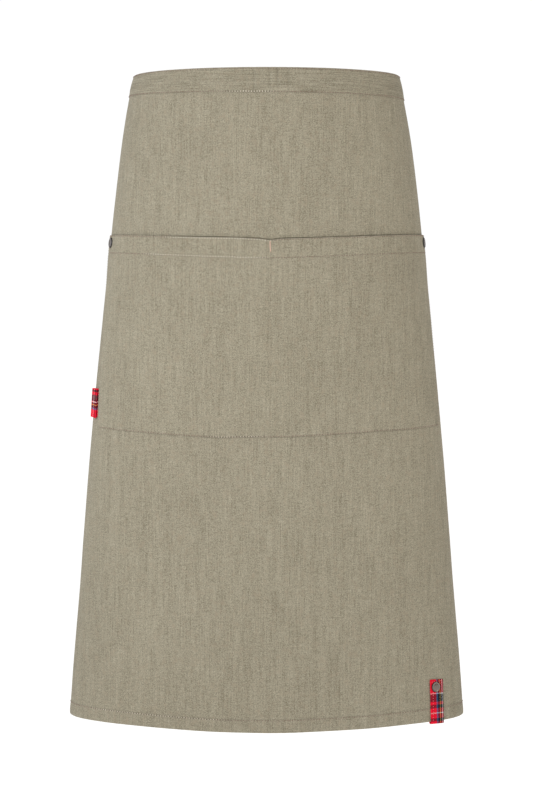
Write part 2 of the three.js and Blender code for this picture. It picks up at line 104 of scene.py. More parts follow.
class ApronSizes(bpy.types.PropertyGroup):
    """Sizes of the apron's cloth and trims"""

    ring_half_width: bpy.props.FloatProperty(
        name="Waist half width", description="Half the waist ring's width", default=0.159, unit="LENGTH", precision=4
    )
    ring_depth: bpy.props.FloatProperty(
        name="Waist depth", description="Half the waist ring's depth", default=0.098, unit="LENGTH", precision=4
    )
    hem_half_width: bpy.props.FloatProperty(
        name="Hem half width", description="Half the hem's width", default=0.2386, unit="LENGTH", precision=4
    )
    hem_front_depth: bpy.props.FloatProperty(
        name="Hem front depth", description="Depth of the hem's front half", default=0.092, unit="LENGTH", precision=4
    )
    hem_back_depth: bpy.props.FloatProperty(
        name="Hem back depth", description="Depth of the hem's back half", default=0.15, unit="LENGTH", precision=4
    )
    side_rise: bpy.props.FloatProperty(
        name="Side rise", description="How far the worn sides rise", default=0.013, unit="LENGTH", precision=4
    )
    corner_sag: bpy.props.FloatProperty(
        name="Corner sag", description="How far the hem sags at the sides", default=0.001, unit="LENGTH", precision=4
    )
    fold_depth: bpy.props.FloatProperty(
        name="Fold depth", description="Depth of a plain soft fold", default=0.002, unit="LENGTH", precision=4
    )
    wrinkle_depth: bpy.props.FloatProperty(
        name="Wrinkle depth", description="Height of the fine wear wrinkles", default=0.0003, unit="LENGTH", precision=5
    )
    cloth_width: bpy.props.FloatProperty(
        name="Cloth width", description="Width of the hemmed panel", default=0.76, unit="LENGTH", precision=4
    )
    cloth_turn: bpy.props.FloatProperty(
        name="Cloth turn", description="How far the cloth sits round to the right", default=0.004, unit="LENGTH", precision=4
    )
    full_drop: bpy.props.FloatProperty(
        name="Length", description="From the band's top edge to the hem", default=0.781, unit="LENGTH", precision=4
    )
    cloth_thickness: bpy.props.FloatProperty(
        name="Cloth thickness", description="Thickness of one layer", default=0.001, unit="LENGTH", precision=4
    )
    hem_height: bpy.props.FloatProperty(
        name="Hem height", description="Height of the folded hem", default=0.016, unit="LENGTH", precision=4
    )
    side_hem_width: bpy.props.FloatProperty(
        name="Side hem width", description="Width of the folded side hems", default=0.01, unit="LENGTH", precision=4
    )
    band_height: bpy.props.FloatProperty(
        name="Band height", description="Height of the folded waistband", default=0.0296, unit="LENGTH", precision=4
    )
    pocket_drop: bpy.props.FloatProperty(
        name="Pocket drop", description="From the band's top edge to the pocket", default=0.2, unit="LENGTH", precision=4
    )
    pocket_height: bpy.props.FloatProperty(
        name="Pocket height", description="Height of the pocket", default=0.235, unit="LENGTH", precision=4
    )
    pocket_half_width: bpy.props.FloatProperty(
        name="Pocket half width", description="Half the pocket's width", default=0.2255, unit="LENGTH", precision=4
    )
    pocket_hem: bpy.props.FloatProperty(
        name="Pocket hem", description="Height of the pocket's top hem", default=0.0226, unit="LENGTH", precision=4
    )
    pocket_lift: bpy.props.FloatProperty(
        name="Pocket lift", description="How far the bottom edge rises", default=0.0022, unit="LENGTH", precision=4
    )
    pocket_gape: bpy.props.FloatProperty(
        name="Pocket gape", description="How far the open top stands off", default=0.0011, unit="LENGTH", precision=4
    )
    stitch_pitch: bpy.props.FloatProperty(
        name="Stitch pitch", description="From one stitch to the next", default=0.0032, unit="LENGTH", precision=5
    )
    stitch_width: bpy.props.FloatProperty(
        name="Thread width", description="Width of a laid stitch", default=0.00098, unit="LENGTH", precision=5
    )
    edge_inset: bpy.props.FloatProperty(
        name="Edge stitch inset", description="From an edge to its row of stitches", default=0.0013, unit="LENGTH", precision=5
    )
    rivet_radius: bpy.props.FloatProperty(
        name="Rivet radius", description="Radius of a rivet's cap", default=0.0064, unit="LENGTH", precision=4
    )
    rivet_height: bpy.props.FloatProperty(
        name="Rivet height", description="Height of a rivet's cap", default=0.0013, unit="LENGTH", precision=4
    )
    tab_width: bpy.props.FloatProperty(
        name="Tab width", description="Width of the hem tab's ribbon", default=0.0193, unit="LENGTH", precision=4
    )
    tab_length: bpy.props.FloatProperty(
        name="Tab length", description="Length of the hem tab's front", default=0.048, unit="LENGTH", precision=4
    )
    loop_height: bpy.props.FloatProperty(
        name="Loop height", description="Width of the side loop's ribbon", default=0.0345, unit="LENGTH", precision=4
    )
    loop_reach: bpy.props.FloatProperty(
        name="Loop reach", description="How far the side loop stands out", default=0.015, unit="LENGTH", precision=4
    )
    tail_length: bpy.props.FloatProperty(
        name="Tail length", description="Length of the hanging ties", default=0.28, unit="LENGTH", precision=4
    )


class ApronColours(bpy.types.PropertyGroup):
    """Colours of the apron's cloth, thread, ribbon and rivets"""

    yarn_light: bpy.props.FloatVectorProperty(
        name="Light yarn", description="Palest yarn of the canvas", subtype="COLOR", size=3, default=(0.376, 0.343, 0.257)
    )
    yarn_dark: bpy.props.FloatVectorProperty(
        name="Dark yarn", description="Darkest yarn of the canvas", subtype="COLOR", size=3, default=(0.163, 0.141, 0.095)
    )
    yarn_warm: bpy.props.FloatVectorProperty(
        name="Warm fleck", description="Warm fleck of the canvas", subtype="COLOR", size=3, default=(0.29, 0.242, 0.172)
    )
    # Painted light and shade on the thread: one thread in two tones, light where it stands for thread catching the
    # light and dark brown where it stands for thread and its needle holes in shade
    thread_painted_lit: bpy.props.FloatVectorProperty(
        name="Light thread", description="Thread where it is cream", subtype="COLOR", size=3, default=(0.97, 0.9, 0.76)
    )
    thread_painted_shaded: bpy.props.FloatVectorProperty(
        name="Dark thread", description="Thread where it is brown", subtype="COLOR", size=3, default=(0.13, 0.056, 0.038)
    )
    thread_rose: bpy.props.FloatVectorProperty(
        name="Bar tack", description="Thread of the bar tack", subtype="COLOR", size=3, default=(0.6, 0.4, 0.31)
    )
    ribbon_red: bpy.props.FloatVectorProperty(
        name="Ribbon red", description="Red of the checked ribbon", subtype="COLOR", size=3, default=(0.68, 0.003, 0.024)
    )
    ribbon_blue: bpy.props.FloatVectorProperty(
        name="Ribbon blue", description="Blue of the checked ribbon", subtype="COLOR", size=3, default=(0.035, 0.16, 0.36)
    )
    ribbon_black: bpy.props.FloatVectorProperty(
        name="Ribbon black", description="Black of the checked ribbon", subtype="COLOR", size=3, default=(0.008, 0.008, 0.014)
    )
    ribbon_green: bpy.props.FloatVectorProperty(
        name="Ribbon green", description="Dark green of the checked ribbon", subtype="COLOR", size=3, default=(0.03, 0.06, 0.05)
    )
    ribbon_yellow: bpy.props.FloatVectorProperty(
        name="Ribbon yellow", description="Yellow of the checked ribbon", subtype="COLOR", size=3, default=(0.62, 0.46, 0.12)
    )
    ribbon_white: bpy.props.FloatVectorProperty(
        name="Ribbon white", description="White of the checked ribbon", subtype="COLOR", size=3, default=(0.8, 0.76, 0.78)
    )
    gunmetal: bpy.props.FloatVectorProperty(
        name="Gunmetal", description="Face of the rivets", subtype="COLOR", size=3, default=(0.17, 0.125, 0.108)
    )
    # Painted reflection: the pocket rivets are the same gunmetal as the hem's, given this lighter face to stand for the
    # bright reflection on them
    gunmetal_glint_painted: bpy.props.FloatVectorProperty(
        name="Shiny gunmetal", description="Face of the pocket's rivets", subtype="COLOR", size=3, default=(0.5, 0.49, 0.5)
    )
    gunmetal_worn: bpy.props.FloatVectorProperty(
        name="Worn gunmetal", description="Rubbed rim of the rivets", subtype="COLOR", size=3, default=(0.34, 0.28, 0.25)
    )


class ApronStage(bpy.types.PropertyGroup):
    """The floor, the camera and the lights"""

    lens: bpy.props.FloatProperty(name="Lens", description="Focal length in millimetres", default=103.5)
    camera_place: bpy.props.FloatVectorProperty(
        name="Camera", description="Where the camera stands", subtype="TRANSLATION", size=3, default=(-0.00015, -2.788, -0.30426)
    )
    camera_tilt: bpy.props.FloatProperty(
        name="Tilt", description="How far the camera looks down", subtype="ANGLE", default=math.radians(1.4943)
    )
    floor_level: bpy.props.FloatProperty(
        name="Floor", description="Height of the floor below the waist", default=-1.08, unit="LENGTH"
    )
    sky_light: bpy.props.FloatProperty(name="Room light", description="Strength of the even room light", default=0.615)
    key_power: bpy.props.FloatProperty(
        name="Key light", description="Power of the large soft light at the left", default=4.5, unit="POWER"
    )
    fill_power: bpy.props.FloatProperty(
        name="Fill light", description="Power of the soft light at the right", default=1.45, unit="POWER"
    )
    back_power: bpy.props.FloatProperty(
        name="Back light", description="Power of the soft light behind", default=3.2, unit="POWER"
    )


class ApronSettings(bpy.types.PropertyGroup):
    """All that the apron is made from"""

    sizes: bpy.props.PointerProperty(type=ApronSizes, name="Sizes", description="Sizes of the cloth and trims")
    colours: bpy.props.PointerProperty(type=ApronColours, name="Colours", description="Colours of the parts")
    stage: bpy.props.PointerProperty(type=ApronStage, name="Stage", description="Floor, camera and lights")


def eased(value, start, end):
    share = np.clip((value - start) / (end - start), 0, 1)
    return share * share * (3 - 2 * share)


def between(start, end, share):
    return start + (end - start) * share


def soft_noise(across, down, seed):
    """Smooth noise from -1 to 1 on a seeded lattice with cells one unit wide"""
    table = np.random.default_rng(seed).uniform(-1, 1, (64, 64))
    column = np.floor(across).astype(int)
    row = np.floor(down).astype(int)
    x = eased(across - column, 0, 1)
    y = eased(down - row, 0, 1)
    left = between(table[row % 64, column % 64], table[(row + 1) % 64, column % 64], y)
    right = between(table[row % 64, (column + 1) % 64], table[(row + 1) % 64, (column + 1) % 64], y)
    return between(left, right, x)


def level_value(column, down):
    """A column of the levels' table as a smooth curve"""
    places = np.array([level[0] for level in LEVELS], float)
    values = np.array([level[column] for level in LEVELS], float)
    last = len(places) - 1
    high = np.clip(np.searchsorted(places, down, side="right"), 1, last)
    low = high - 1
    start, end = places[low], places[high]
    before = np.where(low > 0, low - 1, high)
    after = np.where(high < last, np.minimum(high + 1, last), low)
    half = (end - start) / 2
    pull_before = half / (start - places[before])
    pull_after = half / (places[after] - end)
    p = (down - start) / (end - start)
    return (
        (-pull_before * p**3 + 2 * pull_before * p**2 - pull_before * p) * values[before]
        + ((1 + pull_before) * p**3 + (-1.5 - 2 * pull_before) * p**2 + (-0.5 + pull_before) * p + 1) * values[low]
        + ((-1 - pull_after) * p**3 + (1.5 + pull_after) * p**2 + 0.5 * p) * values[high]
        + (pull_after * p**3 - pull_after * p**2) * values[after]
    )


class WornCloth:
    """The cloth as worn: a length along it, a drop below the band's top edge and a distance outwards
    from the middle of its thickness become a point"""

    steps = 120

    def __init__(self, sizes):
        self.sizes = sizes
        self.left = sizes.cloth_turn - sizes.cloth_width / 2
        self.right = sizes.cloth_turn + sizes.cloth_width / 2
        self.face = sizes.cloth_thickness / 2
        self.gap = 0.0003
        self.pocket_left = sizes.cloth_turn - sizes.pocket_half_width
        self.pocket_right = sizes.cloth_turn + sizes.pocket_half_width
        self.pocket_end = sizes.pocket_drop + sizes.pocket_height
        self.hem_start = sizes.full_drop - sizes.hem_height

    def oval(self, drop):
        s = self.sizes
        down = np.clip(drop / s.full_drop, 0, 1)
        half = between(s.ring_half_width, s.hem_half_width, level_value(1, down))
        front = between(s.ring_depth, s.hem_front_depth, level_value(2, down))
        back = between(s.ring_depth, s.hem_back_depth, level_value(3, down))
        return half, front, back, down

    def arc(self, half, depth):
        turn = math.pi / 2 / self.steps
        angles = (np.arange(self.steps) + 0.5) * turn
        return turn * np.hypot(half[:, None] * np.cos(angles), depth[:, None] * np.sin(angles))

    def angle(self, arcs, length):
        sums = np.cumsum(arcs, axis=1)
        wanted = np.clip(length, 0, sums[:, -1])
        rows = np.arange(len(length))
        step = np.minimum((sums < wanted[:, None]).sum(axis=1), self.steps - 1)
        before = np.where(step > 0, sums[rows, np.maximum(step - 1, 0)], 0)
        return (step + (wanted - before) / arcs[rows, step]) * (math.pi / 2 / self.steps)

    def relief(self, along, drop):
        """How far folds, ripples and wrinkles push the cloth outwards"""
        s = self.sizes
        down = drop / s.full_drop
        place = (along - s.cloth_turn) / (s.cloth_width / 2)
        out = np.zeros_like(along)
        for first, last, start, middle, end, width, depth in FOLDS:
            share = np.clip((down - first) / (last - first), 0, 1)
            crest = between(start, middle, np.minimum(share * 2, 1))
            crest = between(crest, end, np.maximum(share * 2 - 1, 0))
            strength = eased(down, first, first + 0.12)
            fading = 1 - eased(down, last - 0.1, last) if last < 1 else 1
            out += s.fold_depth * depth * strength * fading * np.exp(-(((place - crest) / width) ** 2))
        for middle, first, last, width, height in RIPPLES:
            edge = min(0.02, (last - first) / 4000)
            held = eased(drop, first / 1000, first / 1000 + edge) * (1 - eased(drop, last / 1000 - edge, last / 1000))
            out += height / 1000 * held * np.exp(-(((along * 1000 - middle) / width) ** 2))
        calm = eased(drop, 0.02, 0.06)
        out += s.wrinkle_depth * calm * soft_noise(along / 0.042 + 3, drop / 0.13 + 7, 11)
        out += s.wrinkle_depth * 0.4 * calm * soft_noise(along / 0.015 + 9, drop / 0.045 + 1, 12)
        return out

    def points(self, along, drop, out):
        """Points of the cloth, for arrays of any one shape"""
        along, drop, out = np.broadcast_arrays(along, drop, out)
        shape = along.shape
        along, drop, out = (np.array(values, float).ravel() for values in (along, drop, out))
        made = [
            self.some_points(along[k : k + 20000], drop[k : k + 20000], out[k : k + 20000])
            for k in range(0, len(along), 20000)
        ]
        return np.concatenate(made).reshape(shape + (3,))

    def some_points(self, along, drop, out):
        s = self.sizes
        half, front, back, down = self.oval(drop)
        front_arcs, back_arcs = self.arc(half, front), self.arc(half, back)
        to_side = front_arcs.sum(axis=1)
        length = np.abs(along)
        in_front = length <= to_side
        front_angle = self.angle(front_arcs, length)
        back_angle = self.angle(back_arcs, to_side + back_arcs.sum(axis=1) - length)
        angle = np.where(in_front, front_angle, back_angle)
        depth = np.where(in_front, -front, back)
        side = np.where(along < 0, -1, 1)
        x = side * half * np.sin(angle)
        y = depth * np.cos(angle)
        away = np.stack([x / half**2, y / depth**2], axis=1)
        away /= np.linalg.norm(away, axis=1, keepdims=True)
        offset = out + self.relief(along, drop)
        rise = np.where(side < 0, level_value(4, down), level_value(5, down)) * s.side_rise
        turn = np.where(in_front, angle, math.pi - angle)
        sag = s.corner_sag * np.exp(-(((turn - 1.22) / 0.3) ** 2)) * eased(down, 0.93, 1)
        z = 0.014 - drop + rise * np.sin(angle) ** 1.5 - sag
        return np.stack([x + away[:, 0] * offset, y + away[:, 1] * offset, z], axis=1)

    def frames(self, along, drop, out):
        """Points with the directions to the right, outwards and up there"""
        step = 0.001
        right = unit(self.points(along + step, drop, out) - self.points(along - step, drop, out))
        up = unit(self.points(along, drop - step, out) - self.points(along, drop + step, out))
        outwards = unit(np.cross(right, up))
        return self.points(along, drop, out), right, outwards, unit(np.cross(outwards, right))

    def pocket_out(self, along, drop):
        """How far out the pocket's outer face lies"""
        s = self.sizes
        down = (drop - s.pocket_drop) / s.pocket_height
        from_middle = np.abs(along - s.cloth_turn) / s.pocket_half_width
        slack = np.sin(np.minimum(from_middle, 1) * math.pi) ** 2
        wander = 1 + 0.35 * soft_noise(along / 0.06 + 5, drop * 0 + 2, 21)
        gape = s.pocket_gape * slack * wander * (1 - eased(down, 0, 0.3))
        hem = s.cloth_thickness * (1 - eased(down, 0.09, 0.3))
        seam = 0.0004 * np.exp(-(((along - s.cloth_turn) / 0.005) ** 2)) * eased(down, 0.02, 0.1)
        loose = 0.0006 * slack * eased(down, 0.1, 0.5) * (1 - eased(down, 0.75, 1))
        return self.face + self.gap + s.cloth_thickness + hem + gape + loose - seam

    def pocket_face(self, along, drop):
        """The pocket's outer face, pressed in along its seams and edges"""
        s = self.sizes
        hem_end = s.pocket_drop + s.pocket_hem
        dents = 0.0002 * np.exp(-(((drop - s.pocket_drop - s.edge_inset) / 0.0009) ** 2))
        dents += 0.00022 * np.exp(-(((drop - hem_end + 0.0006) / 0.0012) ** 2))
        from_side = np.minimum(along - self.pocket_left, self.pocket_right - along)
        from_edge = np.minimum(from_side, self.pocket_end - drop)
        return self.pocket_out(along, drop) - dents - 0.0006 * (1 - eased(from_edge, 0, 0.0032))

    def band_face(self, along, drop):
        """The waistband's outer face, pressed in along its stitches"""
        s = self.sizes
        full = self.face + 0.0008
        swell = 0.0006 * np.sin(np.clip((drop - 0.0015) / (s.band_height - 0.005), 0, 1) * math.pi)
        return full + swell - 0.00045 * eased(drop, s.band_height - 0.0036, s.band_height)

    def pocket_level(self, along, drop):
        """The bar tack pulls the top edge down, and the sewn bottom edge lies a little higher at the right"""
        s = self.sizes
        pull = sum(height * np.exp(-(((along - place) / width) ** 2)) for height, place, width in EDGE_PULLS)
        wave = 0.00012 * soft_noise(along / 0.035 + 4, drop * 0 + 6, 22)
        pull = (pull + wave) * (1 - eased(drop, s.pocket_drop, s.pocket_drop + s.pocket_hem))
        lift = s.pocket_lift * eased(along, -0.06, -0.012) * (1 - 0.65 * eased(along, 0.13, 0.17))
        return drop + pull - lift * eased(drop, self.pocket_end - 0.06, self.pocket_end)


def unit(vectors):
    return vectors / np.linalg.norm(vectors, axis=-1, keepdims=True)


def places(marks, pitch):
    """Places from mark to mark, with no step longer than the pitch"""
    marks = sorted(marks)
    found = [marks[0]]
    for start, end in zip(marks, marks[1:]):
        count = max(1, math.ceil((end - start) / pitch - 1e-6))
        found += [start + (end - start) * step / count for step in range(1, count + 1)]
    return np.array(found)


def with_soft_ends(marks):
    """Marks with three more close to each end, where the cloth's edge is rounded"""
    first, last = min(marks), max(marks)
    near = (0.00015, 0.0004, 0.0009)
    return list(marks) + [first + step for step in near] + [last - step for step in near]


def roundness(distance, radius=0.0006):
    """Share of the full thickness near a rounded edge"""
    share = np.clip(distance / radius, 0, 1)
    return np.sqrt(np.maximum(1 - (1 - share) ** 2, 0.02))


def new_mesh(name, points, faces, weave=None):
    """A smooth mesh object, with a weave map in metres for each point"""
    mesh = bpy.data.meshes.new(name)
    mesh.from_pydata(np.reshape(points, (-1, 3)).tolist(), [], [list(map(int, face)) for face in faces])
    if weave is not None:
        layer = mesh.uv_layers.new(name="weave")
        corners = np.empty(len(mesh.loops), np.int32)
        mesh.loops.foreach_get("vertex_index", corners)
        layer.data.foreach_set("uv", np.reshape(weave, (-1, 2))[corners].astype(np.float32).ravel())
    mesh.shade_smooth()
    mesh.validate()
    made = bpy.data.objects.new(name, mesh)
    bpy.context.scene.collection.objects.link(made)
    return made


def sheet_mesh(name, outer, inner, weave):
    """A closed sheet between two grids of points, whose rows run downwards and columns to the right"""
    tall, wide = outer.shape[:2]
    layer = tall * wide
    index = np.arange(layer).reshape(tall, wide)
    a, b, c, d = (part.ravel() for part in (index[:-1, :-1], index[:-1, 1:], index[1:, :-1], index[1:, 1:]))
    faces = [np.stack([a, c, d, b], 1), np.stack([a, b, d, c], 1) + layer]
    for edge in (index[0], index[:, -1], index[-1][::-1], index[:, 0][::-1]):
        first, second = edge[:-1], edge[1:]
        faces.append(np.stack([first, second, second + layer, first + layer], 1))
    points = np.concatenate([outer.reshape(-1, 3), inner.reshape(-1, 3)])
    made = new_mesh(name, points, np.concatenate(faces), np.concatenate([weave.reshape(-1, 2)] * 2))
    outside = made.data.attributes.new("outside", "FLOAT", "POINT")
    outside.data.foreach_set("value", np.repeat([1.0, 0.0], layer).astype(np.float32))
    return made


def swept_mesh(name, rings, weave):
    """A closed section carried along, with a ring of points for each place, closed at both ends"""
    count, size = rings.shape[:2]
    index = np.arange(count * size).reshape(count, size)
    turned = np.roll(index, -1, axis=1)
    faces = [list(face) for face in np.stack([index[:-1], index[1:], turned[1:], turned[:-1]], -1).reshape(-1, 4)]
    faces += [list(index[0]), list(index[-1][::-1])]
    return new_mesh(name, rings, faces, weave)


def turned_mesh(name, profile, at, right, outwards, up, segments=56):
    """A body turned from a profile of radius and height that starts and ends on the axis"""
    turns = np.arange(segments) / segments * math.tau
    rings = []
    for radius, height in profile[1:-1]:
        circle = np.cos(turns)[:, None] * right + np.sin(turns)[:, None] * up
        rings.append(at + radius * circle + height * outwards)
    points = np.concatenate(rings + [[at + profile[0][1] * outwards, at + profile[-1][1] * outwards]])
    index = np.arange(len(rings) * segments).reshape(-1, segments)
    after = np.roll(index, -1, axis=1)
    bottom, top = len(points) - 2, len(points) - 1
    faces = [list(face) for face in np.stack([index[:-1], after[:-1], after[1:], index[1:]], -1).reshape(-1, 4)]
    faces += [[bottom, after[0][k], index[0][k]] for k in range(segments)]
    faces += [[top, index[-1][k], after[-1][k]] for k in range(segments)]
    radii = np.repeat([radius for radius, height in profile[1:-1]], segments)
    angles = np.tile(turns / math.tau, len(rings))
    weave = np.concatenate([np.stack([angles, radii], 1), [[0, 0], [0, 0]]])
    return new_mesh(name, points, faces, weave)


def stitch_mesh(name, at, along, outwards, tone, length, width):
    """Laid stitches: each is a short round thread that arches up and dives into the cloth at its ends"""
    count, sides = len(at), 6
    across = unit(np.cross(outwards, along))
    spots = np.array([-0.43, -0.22, 0.22, 0.43])
    radii = np.array([0.72, 1, 1, 0.72]) * width / 2
    rises = np.array([-0.35, 0.25, 0.25, -0.35]) * width
    turns = np.arange(sides) / sides * math.tau
    rings = (
        at[:, None, None]
        + along[:, None, None] * (spots * length)[None, :, None, None]
        + outwards[:, None, None] * rises[None, :, None, None]
        + across[:, None, None] * (radii[:, None] * np.cos(turns))[None, :, :, None]
        + outwards[:, None, None] * (radii[:, None] * np.sin(turns))[None, :, :, None]
    )
    tips = [
        at + along * length * sign * 0.5 - outwards * width * 0.8
        for sign in (-1, 1)
    ]
    points = np.concatenate([rings.reshape(count, -1, 3), tips[0][:, None], tips[1][:, None]], axis=1)
    index = np.arange(4 * sides).reshape(4, sides)
    after = np.roll(index, -1, axis=1)
    quads = np.stack([index[:-1], index[1:], after[1:], after[:-1]], -1).reshape(-1, 4).tolist()
    ends = [[4 * sides, index[0][k], after[0][k]] for k in range(sides)]
    ends += [[4 * sides + 1, after[-1][k], index[-1][k]] for k in range(sides)]
    size = points.shape[1]
    faces = []
    for k in range(count):
        faces += [[corner + k * size for corner in face] for face in quads + ends]
    made = new_mesh(name, points, faces)
    tones = made.data.attributes.new("tone", "FLOAT", "POINT")
    tones.data.foreach_set("value", np.repeat(tone, size).astype(np.float32))
    return made


class NodeBench:
    """A material's node tree that is being wired, one node for each call"""

    def __init__(self, tree):
        self.tree = tree

    def add(self, kind, inputs=(), **settings):
        node = self.tree.nodes.new("ShaderNode" + kind)
        count = len(self.tree.nodes)
        node.location = (220 * (count // 6), -260 * (count % 6))
        for name, value in settings.items():
            setattr(node, name, value)
        for place, value in dict(inputs).items():
            if isinstance(value, bpy.types.NodeSocket):
                self.tree.links.new(value, node.inputs[place])
            else:
                node.inputs[place].default_value = value
        return node

    def math(self, operation, *values):
        return self.add("Math", dict(enumerate(values)), operation=operation).outputs[0]

    def stretched(self, vector, across, down, shift=0.0):
        scaled = self.add("VectorMath", {0: vector, 1: (across, down, 1)}, operation="MULTIPLY").outputs[0]
        return self.add("VectorMath", {0: scaled, 1: (shift, shift * 0.7, shift)}, operation="ADD").outputs[0]

    def noise(self, vector, across, down, detail=2.0, shift=0.0):
        """Noise with so many cells to the metre across and down"""
        return self.add(
            "TexNoise", {"Vector": self.stretched(vector, across, down, shift), "Scale": 1.0, "Detail": detail}
        ).outputs[0]

    def blend(self, share, first, second, kind="MIX"):
        node = self.add("Mix", {0: share}, data_type="RGBA", blend_type=kind)
        for place, value in ((6, first), (7, second)):
            if isinstance(value, bpy.types.NodeSocket):
                self.tree.links.new(value, node.inputs[place])
            else:
                node.inputs[place].default_value = tuple(value)[:3] + (1,)
        return node.outputs[2]

    def near(self, value, middle, width):
        """One at the middle, fading to nothing at the width to either side"""
        away = self.math("ABSOLUTE", self.math("SUBTRACT", value, middle))
        return self.add(
            "MapRange", {0: away, 1: 0.0, 2: width, 3: 1.0, 4: 0.0}, interpolation_type="SMOOTHSTEP"
        ).outputs[0]

    def within(self, value, middle, half):
        """One within half a width of the middle, and nothing beyond"""
        return self.math("LESS_THAN", self.math("ABSOLUTE", self.math("SUBTRACT", value, middle)), half)


def new_material(name):
    """A material with its shader and a bench to wire it"""
    made = bpy.data.materials.new(name)
    made.use_nodes = True
    made.node_tree.nodes.clear()
    bench = NodeBench(made.node_tree)
    shader = bench.add("BsdfPrincipled")
    output = bench.add("OutputMaterial", {"Surface": shader.outputs[0]})
    output.location = (2600, 0)
    shader.location = (2300, 0)
    return made, bench, shader


